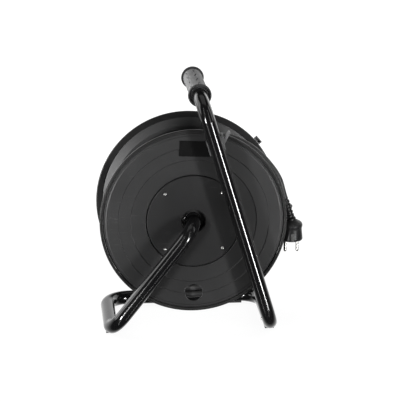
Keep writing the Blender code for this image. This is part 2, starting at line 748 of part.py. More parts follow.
# ---- the clips for cord and plug on the drum ----
def make_rim_clip():
    # A small lug with a slot under it, on the front rim.
    width, height, depth = 0.0130, 0.0060, 0.0042
    base = drum_radius + seat_gap
    clip = place('rim_clip', block('rim_clip', (-width / 2, front_face - 0.0010 - depth, base),
                                   (width / 2, front_face - 0.0010, base + height)),
                 'black_plastic', drum, (0, 0, 0), (0, math.pi / 2 - math.radians(40), 0))
    slot = block('slot', (-width / 2 + 0.0025, front_face - 0.01 - depth, base + 0.0012),
                 (width / 2 - 0.0025, front_face + 0.01, base + height - 0.0020))
    cut(clip, helper('rim_clip_slot', slot, clip))


def make_plug_clip():
    # An arm from the rear flange reaches round the plug's bend relief and ends in a round tip.
    above, thick = plug_clip_above, plug_clip_thickness
    inside = clip_middle - relief_radius - 0.0012
    back = plug_depth + relief_radius + 0.0008
    low, high = above - plug_clip_height / 2, above + plug_clip_height / 2
    start = flange_inside + seat_gap
    clip = place('plug_clip', block('plug_clip', (inside - thick, start, low),
                                    (inside, back + thick, high)), 'black_plastic', drum)
    join(clip, helper('plug_clip_arm', block('arm', (inside - thick, back, low),
                                             (clip_reach, back + thick, high)), clip))
    round_tip, slope = plug_clip_tip, plug_clip_tip * math.sqrt(0.5)
    tip = turned('tip', [(0, -round_tip), (slope, -slope), (round_tip, 0), (slope, slope),
                         (0, round_tip)], 16, 'Z')
    join(clip, helper('plug_clip_tip', tip, clip, (clip_reach, back + thick / 2, above)))


# ---- the cord: plain inner layers, the turns on top of them, the lead, the plug ----
def winding_place(turned_so_far):
    # Radius and depth along the last full layer, up at the rear flange, and along the top turns.
    over = turned_so_far - turns_per_layer
    if over > 0:
        return top_radius, winding_start + turn_pitch * (1.5 * over if over < 1 else over + 0.5)
    climb = max(0.0, 1 + over / 0.5)
    lift = climb * climb * (3 - 2 * climb)
    return under_radius + layer_rise * lift, winding_start - turn_pitch * over


def exit_line():
    start = around(exit_angle, top_radius, winding_place(turns_per_layer + top_turns)[1])
    way = Vector((math.sin(exit_angle), 0, -math.cos(exit_angle)))
    return start, way


def winding_points():
    total = turns_per_layer + top_turns
    count = math.floor(total * turn_points)
    start, way = exit_line()
    points = []
    for step in range(count, -1, -1):
        left = step / turn_points
        radius, depth = winding_place(total - left)
        points.append(around(exit_angle + left * math.tau, radius, depth))
    first_way = (points[0] - points[1]).normalized()
    return [points[0] + first_way * cord_diameter] + points + [start + way * cord_diameter]


def lead_points():
    start, way = exit_line()
    first = start + way * (cord_diameter + seat_gap)
    second = first + way * cord_diameter
    last = relief_head + relief_way * seat_gap
    before = last + relief_way * cord_diameter
    leaving = start.y - plug_depth
    route = [(82, 0.1285, 1.0), (72, 0.1335, 0.92), (62, 0.1383, 0.76), (52, 0.1413, 0.54),
             (42, 0.1433, 0.32), (32, 0.1452, 0.14), (23, 0.1468, 0.03)]
    knots = [around(math.radians(angle), radius, plug_depth + leaving * share)
             for angle, radius, share in route]
    curve = smooth_path([second] + knots + [before], cord_diameter * 1.1)
    return [first] + curve + [last]


def path_length(points):
    return sum((b - a).length for a, b in zip(points, points[1:]))


def least_gap(points):
    # The closest that the tube comes to itself, between points over half a turn apart.
    closest = 1.0
    for index, point in enumerate(points):
        for other in points[index + turn_points // 2:]:
            closest = min(closest, (point - other).length)
    return closest - cord_diameter


def make_cord():
    ends = flange_inside + seat_gap
    inner_top = under_radius * math.cos(math.pi / turn_points) - cord_radius - seat_gap
    ring = [(core_radius + seat_gap, ends), (inner_top, ends), (inner_top, front_face - ends),
            (core_radius + seat_gap, front_face - ends)]
    place('cord_inner_layers', turned('cord_inner_layers', ring, large_sides), 'cable_rubber', drum)
    winding = winding_points()
    tube('cord_outer_layer', winding, cord_radius, 1, 'cable_rubber', drum)
    lead = lead_points()
    tube('cord_lead', lead, cord_radius, 2, 'cable_rubber', drum)
    print('turns in a full layer', turns_per_layer, 'pitch', round(turn_pitch * 1000, 3), 'mm')
    print('turns on top', round(top_turns, 3), 'over radius', round(top_radius * 1000, 2), 'mm')
    print('least gap of the winding to itself', round(least_gap(winding) * 1000, 3), 'mm')
    print('lead', round(path_length(lead), 4), 'm, cord',
          round(full_length + math.tau * top_radius * top_turns + path_length(lead), 3), 'm')


def make_plug():
    edge = 0.0030
    waist = plug_radius - 0.0012
    outline = [(0, plug_face), (plug_radius - edge, plug_face),
               (plug_radius - 0.0008, plug_face + 0.0010), (plug_radius, plug_face + edge),
               (waist, plug_face + 0.0150),
               (waist - 0.0003, plug_face + 0.0200), (plug_radius - 0.0004, plug_face + 0.0240),
               (plug_radius - 0.0006, plug_top - 0.0040), (plug_radius - 0.0040, plug_top - 0.0012),
               (relief_radius + 0.002, plug_top), (0, plug_top)]
    centre = (plug_across, plug_depth, 0)
    body = place('plug_body', turned('plug_body', outline, 24, 'Z'), 'black_plastic', drum, centre)
    neck = turned('neck', rod(neck_radius, -0.005, neck_height), 20, 'Z')
    join(body, helper('plug_neck', neck, body, neck_foot - Vector(centre), (0, -relief_lean, 0)))
    strip_depth, strip_half, strip_height = 0.0022, 0.0024, 0.0140
    for side, name in ((-1, 'rear'), (1, 'front')):
        outside = side * (plug_radius + 0.002)
        inside = side * (plug_radius - strip_depth)
        slot = block('slot', (-strip_half - seat_gap, min(outside, inside), plug_face - 0.002),
                     (strip_half + seat_gap, max(outside, inside), plug_face + strip_height + seat_gap))
        cut(body, helper('earth_slot_' + name, slot, body))
        far = side * (plug_radius - 0.0009)
        near = side * (plug_radius - strip_depth + seat_gap)
        strip = block('strip', (-strip_half, min(far, near), plug_face + 0.0006),
                      (strip_half, max(far, near), plug_face + strip_height))
        place('earth_contact_' + name, strip, 'nickel_brass', drum, centre)
    for side, name in ((-1, 'left'), (1, 'right')):
        tip = plug_face - plug_pin_length
        top = plug_face - seat_gap
        pin = [(0, tip), (plug_pin_radius * 0.55, tip + 0.0003), (plug_pin_radius, tip + 0.0022),
               (plug_pin_radius, top), (0, top)]
        place('plug_pin_' + name, turned('plug_pin', pin, 12, 'Z'), 'nickel_brass', drum,
              (plug_across + side * pin_pitch / 2, plug_depth, 0))
    rib, groove = relief_radius, relief_radius - 0.0014
    outline = [(0, 0), (groove, 0)]
    pitch = (relief_length - 0.004) / relief_ribs
    for number in range(relief_ribs):
        low = 0.002 + number * pitch
        shrink = 0.0012 * number / relief_ribs
        outline += [(rib - shrink, low), (rib - shrink, low + pitch * 0.55),
                    (groove - shrink, low + pitch * 0.62), (groove - shrink, low + pitch * 0.97)]
    outline += [(cord_radius + 0.0004, relief_length), (0, relief_length)]
    place('bend_relief', turned('bend_relief', outline, 16, 'Z'), 'black_plastic', drum,
          relief_foot, (0, -relief_lean, 0))


make_frame_tube()
make_grip()
make_feet()
make_leg_hook()
make_rear_flange()
make_front_flange()
make_core()
make_rear_cover()
make_socket_panel()
make_sockets()
make_cutout()
make_inner_fittings()
make_knob()
make_rim_clip()
make_plug_clip()
make_cord()
make_plug()
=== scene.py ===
import json
import math
import bpy
import bmesh
from mathutils import Matrix, Vector


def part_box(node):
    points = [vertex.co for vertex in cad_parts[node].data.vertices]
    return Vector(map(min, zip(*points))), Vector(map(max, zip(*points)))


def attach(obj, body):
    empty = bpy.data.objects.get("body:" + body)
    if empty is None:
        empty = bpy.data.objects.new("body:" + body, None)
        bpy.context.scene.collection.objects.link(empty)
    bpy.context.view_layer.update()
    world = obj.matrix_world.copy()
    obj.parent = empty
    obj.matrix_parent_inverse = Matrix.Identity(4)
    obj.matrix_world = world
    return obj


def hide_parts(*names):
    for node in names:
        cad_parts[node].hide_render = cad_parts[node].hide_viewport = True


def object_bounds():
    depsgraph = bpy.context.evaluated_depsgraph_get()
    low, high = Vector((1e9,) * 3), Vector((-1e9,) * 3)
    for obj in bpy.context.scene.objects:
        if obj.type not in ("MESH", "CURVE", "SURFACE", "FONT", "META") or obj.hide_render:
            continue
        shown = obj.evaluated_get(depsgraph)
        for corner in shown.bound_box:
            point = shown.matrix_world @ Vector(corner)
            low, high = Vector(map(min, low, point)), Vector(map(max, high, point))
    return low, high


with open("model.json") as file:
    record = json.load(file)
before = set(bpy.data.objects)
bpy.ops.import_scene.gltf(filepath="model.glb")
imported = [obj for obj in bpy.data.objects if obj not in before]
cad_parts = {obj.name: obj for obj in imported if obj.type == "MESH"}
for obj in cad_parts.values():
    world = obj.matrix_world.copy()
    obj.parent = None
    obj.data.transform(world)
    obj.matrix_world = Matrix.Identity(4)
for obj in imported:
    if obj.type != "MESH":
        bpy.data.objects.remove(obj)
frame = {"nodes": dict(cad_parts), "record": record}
nodes = frame["nodes"]
cadLow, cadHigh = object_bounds()

# The drum's axis runs along Y. Depths below are counted from the rear rim, towards the sockets.
rimLow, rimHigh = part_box("rear_flange")
axisPoint = Vector(((rimLow.x + rimHigh.x) / 2, rimLow.y, (rimLow.z + rimHigh.z) / 2))
gap = 0.0003
print("frame loaded, drum axis at", [round(value, 4) for value in axisPoint])


def linked(name, data):
    made = bpy.data.objects.new(name, data)
    bpy.context.collection.objects.link(made)
    return made


def shapeObject(name, shape):
    mesh = bpy.data.meshes.new(name)
    shape.to_mesh(mesh)
    shape.free()
    return linked(name, mesh)


def direction(azimuth, elevation):
    # The way to a place, its azimuth counted to the right from straight behind.
    turn, tilt = math.radians(azimuth), math.radians(elevation)
    return Vector((math.sin(turn) * math.cos(tilt), -math.cos(turn) * math.cos(tilt), math.sin(tilt)))


# Camera, floor and light.
cameraPlace = {
    "azimuth": 5.19,            # degrees to the left of straight behind
    "elevation": 15.72,
    "distance": 3.094,
    "across": 0.0112,           # of the point it looks at, from the drum's axis
    "above": 0.0324,
    "lens": 180.4,
}


def setCamera(place):
    back = direction(-place["azimuth"], place["elevation"])
    data = bpy.data.cameras.new("camera")
    data.lens = place["lens"]
    data.clip_end = 20
    camera = linked("camera", data)
    target = axisPoint + Vector((place["across"], 0, place["above"]))
    camera.location = target + back * place["distance"]
    camera.rotation_euler = (-back).to_track_quat("-Z", "Y").to_euler()
    bpy.context.scene.camera = camera


lamps = {
    # azimuth and elevation of the lamp, distance, width, height, watts
    "leftStrip": (-31, 0, 1.6, 0.08, 3.4, 7),
    "rightStrip": (30, 0, 1.6, 0.06, 3.4, 6),
    "leftKey": (-37, -6, 1.6, 0.14, 0.45, 31),
    "rightKey": (38, -6, 1.6, 0.16, 0.45, 23),
    "leftSide": (-88, 22, 1.4, 0.50, 1.1, 6),
    "rightSide": (78, 30, 1.6, 0.50, 1.1, 4),
    "frontLeft": (-124, 24, 1.6, 1.1, 1.1, 10),
    "frontRight": (128, 24, 1.6, 1.1, 1.1, 7),
    "overhead": (0, 89, 1.5, 1.2, 1.2, 3),
}


def setLamps():
    aim = axisPoint + Vector((0, 0.06, 0.01))
    for name, (azimuth, elevation, distance, width, height, watts) in lamps.items():
        data = bpy.data.lights.new(name, "AREA")
        data.shape = "RECTANGLE"
        data.size, data.size_y = width, height
        data.energy = watts
        lamp = linked(name, data)
        away = direction(azimuth, elevation)
        lamp.location = aim + away * distance
        lamp.rotation_euler = away.to_track_quat("Z", "Y").to_euler()


# Three short ways to add a node to a tree. What goes in is a socket to link, or a value to set.
def feed(tree, socket, value):
    if isinstance(value, bpy.types.NodeSocket):
        tree.links.new(value, socket)
    else:
        socket.default_value = value


def mathNode(tree, operation, *values):
    node = tree.nodes.new("ShaderNodeMath")
    node.operation = operation
    for socket, value in zip(node.inputs, values):
        feed(tree, socket, value)
    return node.outputs[0]


def rangeNode(tree, value, fromLow=0.0, fromHigh=1.0, toLow=0.0, toHigh=1.0):
    node = tree.nodes.new("ShaderNodeMapRange")
    for socket, number in zip(node.inputs, (value, fromLow, fromHigh, toLow, toHigh)):
        feed(tree, socket, number)
    return node.outputs[0]


def mixNode(tree, share, first, second):
    node = tree.nodes.new("ShaderNodeMixShader")
    for socket, value in zip(node.inputs, (share, first, second)):
        feed(tree, socket, value)
    return node.outputs[0]


room = {
    "dim": 0.032,               # strength of the room on the camera's side
    "bright": 1.16,             # and of the backdrop behind the object, seen in its gloss
    "turnLow": 0.05, "turnHigh": 0.60, "fadeLow": 0.34, "fadeHigh": 0.48,
}


def setWorld():
    # White for the camera, and behind the object in its gloss. The room in front is dim.
    world = bpy.data.worlds.new("studio")
    bpy.context.scene.world = world
    world.use_nodes = True
    tree = world.node_tree
    tree.nodes.clear()
    path = tree.nodes.new("ShaderNodeLightPath").outputs
    split = tree.nodes.new("ShaderNodeSeparateXYZ")
    feed(tree, split.inputs[0], tree.nodes.new("ShaderNodeTexCoord").outputs["Generated"])
    behind = rangeNode(tree, split.outputs["Y"], room["turnLow"], room["turnHigh"], room["dim"],
                       room["bright"])
    low = rangeNode(tree, split.outputs["Z"], room["fadeHigh"], room["fadeLow"])
    glossy = mathNode(tree, "MULTIPLY", path["Is Glossy Ray"], mathNode(tree, "MULTIPLY", behind, low))
    seen = mathNode(tree, "MAXIMUM", path["Is Camera Ray"], path["Is Transmission Ray"])
    shade = tree.nodes.new("ShaderNodeBackground")
    shade.inputs["Color"].default_value = (1, 1, 1, 1)
    either = mathNode(tree, "MAXIMUM", seen, glossy)
    feed(tree, shade.inputs["Strength"], mathNode(tree, "MAXIMUM", either, room["dim"]))
    out = tree.nodes.new("ShaderNodeOutputWorld")
    feed(tree, out.inputs["Surface"], shade.outputs[0])


floorLook = {
    "halfSize": 6, "below": 0.0002, "near": 0.35, "far": 1.1,
    "nearGlow": 1.12, "farGlow": 1.34, "glowShare": 0.84, "paper": (0.86, 0.86, 0.86, 1),
}


def setFloor():
    # Near white paper that keeps a faint shadow. Gloss looks past it, as over a raised table.
    look = floorLook
    shape = bmesh.new()
    bmesh.ops.create_grid(shape, x_segments=2, y_segments=2, size=look["halfSize"])
    floor = shapeObject("floor", shape)
    floor.location.z = cadLow.z - look["below"]
    paper = bpy.data.materials.new("floorPaper")
    paper.use_nodes = True
    tree = paper.node_tree
    tree.nodes.clear()
    length = tree.nodes.new("ShaderNodeVectorMath")
    length.operation = "LENGTH"
    feed(tree, length.inputs[0], tree.nodes.new("ShaderNodeTexCoord").outputs["Object"])
    diffuse = tree.nodes.new("ShaderNodeBsdfDiffuse")
    diffuse.inputs["Color"].default_value = look["paper"]
    white = tree.nodes.new("ShaderNodeEmission")
    feed(tree, white.inputs["Strength"], rangeNode(tree, length.outputs["Value"], look["near"],
                                                   look["far"], look["nearGlow"], look["farGlow"]))
    path = tree.nodes.new("ShaderNodeLightPath").outputs
    share = mathNode(tree, "MULTIPLY", path["Is Camera Ray"], look["glowShare"])
    sheet = mixNode(tree, share, diffuse.outputs[0], white.outputs[0])
    past = mathNode(tree, "MAXIMUM", path["Is Glossy Ray"], path["Is Shadow Ray"])
    clear = tree.nodes.new("ShaderNodeBsdfTransparent").outputs[0]
    out = tree.nodes.new("ShaderNodeOutputMaterial")
    feed(tree, out.inputs["Surface"], mixNode(tree, past, sheet, clear))
    floor.data.materials.append(paper)


setCamera(cameraPlace)
setLamps()
setWorld()
setFloor()
bpy.context.scene.view_settings.view_transform = "Standard"
print("camera, lamps, world and floor set")


# Shared effects as node groups.
def newGroup(name, outputs, **numbers):
    # A group that takes a vector and some numbers. Gives its tree, and its sockets from inside.
    group = bpy.data.node_groups.new(name, "ShaderNodeTree")
    group.interface.new_socket(name="Vector", in_out="INPUT", socket_type="NodeSocketVector")
    for label, value in numbers.items():
        socket = group.interface.new_socket(name=label, in_out="INPUT", socket_type="NodeSocketFloat")
        socket.default_value = value
    for label in outputs:
        group.interface.new_socket(name=label, in_out="OUTPUT", socket_type="NodeSocketFloat")
    return (group, group.nodes.new("NodeGroupInput").outputs,
            group.nodes.new("NodeGroupOutput").inputs)


def noiseNode(tree, vector, scale, detail, roughness=0.5):
    node = tree.nodes.new("ShaderNodeTexNoise")
    for label, value in (("Vector", vector), ("Scale", scale), ("Detail", detail),
                         ("Roughness", roughness)):
        feed(tree, node.inputs[label], value)
    return node.outputs["Fac"]


def makeGrainGroup():
    # Fine moulded or cast texture, and slow changes of tone over a hand's width.
    group, enter, leave = newGroup("surfaceGrain", ["Height", "Tone"], Fine=900, Slow=9)
    feed(group, leave["Height"], noiseNode(group, enter["Vector"], enter["Fine"], 3, 0.6))
    slow = noiseNode(group, enter["Vector"], enter["Slow"], 4, 0.55)
    feed(group, leave["Tone"], rangeNode(group, slow, 0.3, 0.7))
    return group


def makeScuffGroup():
    # Thin handling scratches in two directions, gathered in patches.
    group, enter, leave = newGroup("handlingScuffs", ["Mask"], Amount=0.5)
    place = enter["Vector"]
    patches = rangeNode(group, noiseNode(group, place, 14, 3), 0.52, 0.72)
    strokes = []
    for turn, stretch in (((0.3, 0.5, 0.4), (30, 900, 700)), ((1.2, 0.1, 2.0), (700, 40, 900))):
        lean = group.nodes.new("ShaderNodeMapping")
        lean.inputs["Rotation"].default_value = turn
        lean.inputs["Scale"].default_value = stretch
        feed(group, lean.inputs["Vector"], place)
        strokes.append(rangeNode(group, noiseNode(group, lean.outputs[0], 1, 1), 0.66, 0.74))
    inPatch = mathNode(group, "MULTIPLY", mathNode(group, "MAXIMUM", *strokes), patches)
    feed(group, leave["Mask"], mathNode(group, "MULTIPLY", inPatch, enter["Amount"]))
    return group


def makeDustGroup():
    # A thin film on what faces up.
    group, enter, leave = newGroup("shopDust", ["Mask"], Amount=0.2)
    split = group.nodes.new("ShaderNodeSeparateXYZ")
    feed(group, split.inputs[0], group.nodes.new("ShaderNodeNewGeometry").outputs["Normal"])
    facing = rangeNode(group, split.outputs["Z"], 0.1, 1.0)
    broken = mathNode(group, "MULTIPLY", facing, noiseNode(group, enter["Vector"], 60, 5))
    feed(group, leave["Mask"], mathNode(group, "MULTIPLY", broken, enter["Amount"]))
    return group


grainGroup = makeGrainGroup()
scuffGroup = makeScuffGroup()
dustGroup = makeDustGroup()


# Finishes.
def placeGroup(tree, group, vector, **values):
    node = tree.nodes.new("ShaderNodeGroup")
    node.node_tree = group
    tree.links.new(vector, node.inputs["Vector"])
    for label, value in values.items():
        node.inputs[label].default_value = value
    return node


def mixColour(tree, share, first, second):
    node = tree.nodes.new("ShaderNodeMix")
    node.data_type = "RGBA"
    feed(tree, node.inputs[0], share)
    for socket, value in ((node.inputs[6], first), (node.inputs[7], second)):
        value = (value,) * 3 if isinstance(value, float) else value
        feed(tree, socket, (*value, 1) if isinstance(value, tuple) else value)
    return node.outputs[2]


dustColour = (0.30, 0.29, 0.27)
scuffRoughness = 0.25
grainDepth = 0.0002


def makeFinish(name, look):
    finish = bpy.data.materials.new(name)
    finish.use_nodes = True
    tree = finish.node_tree
    shader = tree.nodes["Principled BSDF"].inputs
    place = tree.nodes.new("ShaderNodeTexCoord").outputs["Object"]
    grain = placeGroup(tree, grainGroup, place, Fine=look["grain"], Slow=look["slow"])
    scuffs = placeGroup(tree, scuffGroup, place, Amount=look["scuffs"]).outputs["Mask"]
    dust = placeGroup(tree, dustGroup, place, Amount=look["dust"]).outputs["Mask"]
    tone = grain.outputs["Tone"]
    colour = mixColour(tree, tone, *look["tones"])
    colour = mixColour(tree, scuffs, colour, look["scuffColour"])
    feed(tree, shader["Base Color"], mixColour(tree, dust, colour, dustColour))
    smooth = rangeNode(tree, tone, 0, 1, *look["rough"])
    rough = mathNode(tree, "MULTIPLY_ADD", scuffs, scuffRoughness, smooth)
    rough.node.use_clamp = True
    feed(tree, shader["Roughness"], rough)
    bump = tree.nodes.new("ShaderNodeBump")
    bump.inputs["Strength"].default_value = look["bump"]
    bump.inputs["Distance"].default_value = grainDepth
    feed(tree, bump.inputs["Height"], grain.outputs["Height"])
    feed(tree, shader["Normal"], bump.outputs[0])
    shader["Metallic"].default_value = look.get("metal", 0.0)
    shader["Specular IOR Level"].default_value = look.get("specular", 0.5)
    finish.diffuse_color = (*look["tones"][0], 1)
    return finish


finishLooks = {
    "paintedTube": dict(
        tones=((0.0022, 0.0022, 0.0024), (0.0035, 0.0035, 0.0037)), rough=(0.09, 0.15), grain=420,
        slow=12, bump=0.10, scuffs=0.25, scuffColour=0.05, dust=0.01, specular=0.45),
    "drumPlastic": dict(
        tones=((0.007, 0.007, 0.0072), (0.011, 0.011, 0.0112)), rough=(0.40, 0.48), grain=1500, slow=7,
        bump=0.16, scuffs=0.30, scuffColour=0.10, dust=0.03, specular=0.28),
    # Painted shade: a darker copy of the drum plastic, so the rear cover round the hub looks shaded.
    "coverPlastic": dict(
        tones=((0.005, 0.005, 0.0052), (0.008, 0.008, 0.0082)), rough=(0.40, 0.48), grain=1500, slow=7,
        bump=0.16, scuffs=0.30, scuffColour=0.08, dust=0.02, specular=0.24),
    # Painted light: a lighter copy of the drum plastic, so the front flange's inner face looks lit.
    "frontPlastic": dict(
        tones=((0.012, 0.012, 0.0125), (0.018, 0.018, 0.0185)), rough=(0.38, 0.46), grain=1500, slow=7,
        bump=0.12, scuffs=0.30, scuffColour=0.16, dust=0.07, specular=0.5),
    "fittingPlastic": dict(
        tones=((0.009, 0.009, 0.0095), (0.014, 0.014, 0.0145)), rough=(0.34, 0.46), grain=1300, slow=18,
        bump=0.18, scuffs=0.25, scuffColour=0.12, dust=0.08, specular=0.45),
    "gripFoam": dict(
        tones=((0.180, 0.181, 0.183), (0.262, 0.262, 0.265)), rough=(0.60, 0.74), grain=1100, slow=46,
        bump=0.40, scuffs=0.30, scuffColour=0.09, dust=0.10, specular=0.35),
    "cableJacket": dict(
        tones=((0.010, 0.010, 0.0105), (0.017, 0.017, 0.0175)), rough=(0.46, 0.62), grain=800, slow=30,
        bump=0.25, scuffs=0.45, scuffColour=0.09, dust=0.08, specular=0.36),
    "footRubber": dict(
        tones=((0.014, 0.014, 0.014), (0.028, 0.027, 0.026)), rough=(0.72, 0.86), grain=900, slow=40,
        bump=0.35, scuffs=0.4, scuffColour=0.10, dust=0.30, specular=0.3),
    "brightZinc": dict(
        tones=((0.50, 0.50, 0.49), (0.38, 0.38, 0.37)), rough=(0.22, 0.34), grain=1600, slow=120,
        bump=0.10, scuffs=0.3, scuffColour=0.30, dust=0.05, metal=1.0),
    # Painted shade: dark steel for the plug's earth contacts, standing in for the shade in their
    # recesses.
    "greasedSteel": dict(
        tones=((0.10, 0.10, 0.10), (0.05, 0.05, 0.048)), rough=(0.34, 0.50), grain=900, slow=90,
        bump=0.15, scuffs=0.6, scuffColour=(0.35, 0.35, 0.34), dust=0.05, metal=1.0),
    "nickelPin": dict(
        tones=((0.74, 0.73, 0.71), (0.64, 0.63, 0.61)), rough=(0.16, 0.26), grain=1800, slow=140,
        bump=0.05, scuffs=0.4, scuffColour=(0.45, 0.44, 0.42), dust=0.02, metal=1.0),
    "bushNylon": dict(
        tones=((0.30, 0.295, 0.27), (0.40, 0.39, 0.36)), rough=(0.45, 0.60), grain=1100, slow=60,
        bump=0.15, scuffs=0.2, scuffColour=(0.2, 0.2, 0.18), dust=0.10),
    # Black gloss of the rim bands. Also painted shade: the hub's bush and washer wear it, so the hub
    # recess looks dark.
    "rimGloss": dict(
        tones=((0.006, 0.006, 0.006), (0.009, 0.009, 0.009)), rough=(0.30, 0.38), grain=1300, slow=20,
        bump=0.06, scuffs=0.35, scuffColour=0.08, dust=0.02, specular=0.30),
    # Painted light: a lighter copy of the black fitting plastic, so the hook and clips look lit on their
    # edges.
    "clipPlastic": dict(
        tones=((0.045, 0.045, 0.046), (0.065, 0.065, 0.066)), rough=(0.34, 0.44), grain=1300, slow=18,
        bump=0.15, scuffs=0.3, scuffColour=0.15, dust=0.06),
    "plugRubber": dict(
        tones=((0.006, 0.006, 0.0063), (0.010, 0.010, 0.0103)), rough=(0.32, 0.42), grain=1000, slow=40,
        bump=0.20, scuffs=0.35, scuffColour=0.05, dust=0.02, specular=0.12),
    "greyPlastic": dict(
        tones=((0.25, 0.25, 0.25), (0.31, 0.31, 0.31)), rough=(0.30, 0.40), grain=1300, slow=30,
        bump=0.10, scuffs=0.3, scuffColour=0.10, dust=0.06),
    "labelFilm": dict(
        tones=((0.002, 0.002, 0.002), (0.003, 0.003, 0.003)), rough=(0.42, 0.50), grain=700, slow=40,
        bump=0.05, scuffs=0.2, scuffColour=0.03, dust=0.01, specular=0.05),
}
finishes = {name: makeFinish(name, look) for name, look in finishLooks.items()}

slotFinishes = {
    "painted_steel": "paintedTube", "drum_plastic": "drumPlastic", "black_plastic": "fittingPlastic",
    "grip_plastic": "gripFoam", "cable_rubber": "cableJacket", "foot_rubber": "footRubber",
    "zinc_steel": "brightZinc", "nickel_brass": "nickelPin", "bush_nylon": "bushNylon",
}
slotOf = {part["node"]: part["material_slot"] for part in frame["record"]["subparts"]}
bodyOf = {node: body for body, members in frame["record"]["behaviour"]["bodies"].items()
          for node in members}
for node, slot in slotOf.items():
    nodes[node].data.materials.clear()
    nodes[node].data.materials.append(finishes[slotFinishes[slot]])
print("finishes made:", len(finishes))


# Making and placing pieces.
mergeDistance = 0.000005


def softCorners(points, radius=0.0005, steps=3, closed=True):
    # Rounds each corner of an outline, by a curve between points set back along its two edges.
    rounded = []
    count = len(points)
    for number, point in enumerate(points):
        corner = Vector(point)
        if not closed and number in (0, count - 1):
            rounded.append(tuple(corner))
            continue
        before = Vector(points[number - 1])
        after = Vector(points[(number + 1) % count])
        inward, outward = before - corner, after - corner
        reach = min(radius, inward.length * 0.45, outward.length * 0.45)
        start = corner + inward.normalized() * reach
        end = corner + outward.normalized() * reach
        for step in range(steps + 1):
            t = step / steps
            rounded.append(tuple(start * (1 - t) ** 2 + corner * 2 * t * (1 - t) + end * t ** 2))
    return rounded


def turnShape(outline, sides=96, along="Y"):
    # (radius, distance) points spun round the axis. An outline that starts on the axis is open.
    shape = bmesh.new()
    corners = []
    for radius, distance in outline:
        spot = (radius, distance, 0) if along == "Y" else (radius, 0, distance)
        corners.append(shape.verts.new(spot))
    edges = [shape.edges.new(pair) for pair in zip(corners, corners[1:])]
    if outline[0][0] > 0:
        edges.append(shape.edges.new((corners[-1], corners[0])))
    direction = (0, 1, 0) if along == "Y" else (0, 0, 1)
    bmesh.ops.spin(shape, geom=corners + edges, cent=(0, 0, 0), axis=direction,
                   angle=math.tau, steps=sides, use_merge=True)
    bmesh.ops.remove_doubles(shape, verts=shape.verts, dist=mergeDistance)
    bmesh.ops.recalc_face_normals(shape, faces=shape.faces)
    return shape


def turned(outline, corner, sides=96, along="Y", steps=3):
    # The same, with the outline's corners rounded first.
    return turnShape(softCorners(outline, corner, steps, closed=outline[0][0] > 0), sides, along)


def bevelled(shape, edges, offset, segments=2, clamp=False):
    bmesh.ops.bevel(shape, geom=edges, offset=offset, affect="EDGES", segments=segments, profile=0.5,
                    material=-1, clamp_overlap=clamp)
    return shape


def sharpEdges(shape, degrees):
    return [edge for edge in shape.edges if edge.calc_face_angle(0) > math.radians(degrees)]


def blockShape(low, high, bevel=0.0006, segments=2):
    shape = bmesh.new()
    bmesh.ops.create_cube(shape, size=1)
    bmesh.ops.scale(shape, vec=Vector(high) - Vector(low), verts=shape.verts)
    bmesh.ops.translate(shape, vec=(Vector(high) + Vector(low)) / 2, verts=shape.verts)
    return bevelled(shape, shape.edges[:], bevel, segments) if bevel else shape


def plateShape(outline, thickness, bevel):
    # An outline in X and Z, drawn out along Y, with its sharp edges rounded.
    shape = bmesh.new()
    face = shape.faces.new([shape.verts.new((x, 0, z)) for x, z in outline])
    grown = bmesh.ops.extrude_face_region(shape, geom=[face])
    raised = [item for item in grown["geom"] if isinstance(item, bmesh.types.BMVert)]
    bmesh.ops.translate(shape, vec=(0, thickness, 0), verts=raised)
    bmesh.ops.recalc_face_normals(shape, faces=shape.faces)
    return bevelled(shape, sharpEdges(shape, 30), bevel)


def moved(shape, offset=(0, 0, 0), turn=None):
    if turn is not None:
        bmesh.ops.transform(shape, matrix=turn, verts=shape.verts)
    bmesh.ops.translate(shape, vec=offset, verts=shape.verts)
    return shape


def turnAbout(axis, degrees):
    return Matrix.Rotation(math.radians(degrees), 4, axis)


def around(angle, radius, depth=0.0):
    return Vector((radius * math.cos(angle), depth, radius * math.sin(angle)))


def evaluatedShape(item):
    # The shape that an object has with its modifiers, or that a curve has as a mesh.
    bpy.context.view_layer.update()
    evaluated = item.evaluated_get(bpy.context.evaluated_depsgraph_get())
    shape = bmesh.new()
    shape.from_mesh(evaluated.to_mesh())
    evaluated.to_mesh_clear()
    return shape


def carved(shape, tools, operation="DIFFERENCE"):
    # Cuts tool shapes from a shape, or joins them to it, and gives the result as a new shape.
    target = shapeObject("carving", shape)
    helpers = [shapeObject("tool", tool) for tool in tools]
    for tool in helpers:
        change = target.modifiers.new("change", "BOOLEAN")
        change.operation = operation
        change.object = tool
    result = evaluatedShape(target)
    for made in [target] + helpers:
        bpy.data.objects.remove(made, do_unlink=True)
    bmesh.ops.remove_doubles(result, verts=result.verts, dist=mergeDistance)
    return result


def addPiece(name, shape, finish, body, replaced=(), sharpAngle=32):
    piece = shapeObject(name, moved(shape, axisPoint))
    piece.data.shade_smooth()
    piece.data.set_sharp_from_angle(angle=math.radians(sharpAngle))
    piece.data.materials.append(finishes[finish])
    even = piece.modifiers.new("evenShading", "WEIGHTED_NORMAL")
    even.keep_sharp = True
    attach(piece, body)
    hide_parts(*replaced)
    return piece


def showNode(node, shape, finish, name="", sharpAngle=32):
    # A piece in place of a CAD node, on the node's body, and named after it if not named.
    first, *others = node.split("_")
    name = name or first + "".join(word.title() for word in others)
    return addPiece(name, shape, finish, bodyOf[node], [node], sharpAngle)


def tubeCurve(name, points, radius, resolution):
    # A round tube along points, closed at its ends, as a curve object.
    curve = bpy.data.curves.new(name, "CURVE")
    curve.dimensions = "3D"
    curve.bevel_depth = radius
    curve.bevel_resolution = resolution
    curve.use_fill_caps = True
    line = curve.splines.new("POLY")
    line.points.add(len(points) - 1)
    for spot, point in zip(line.points, points):
        spot.co = (*point, 1)
    return linked(name, curve)


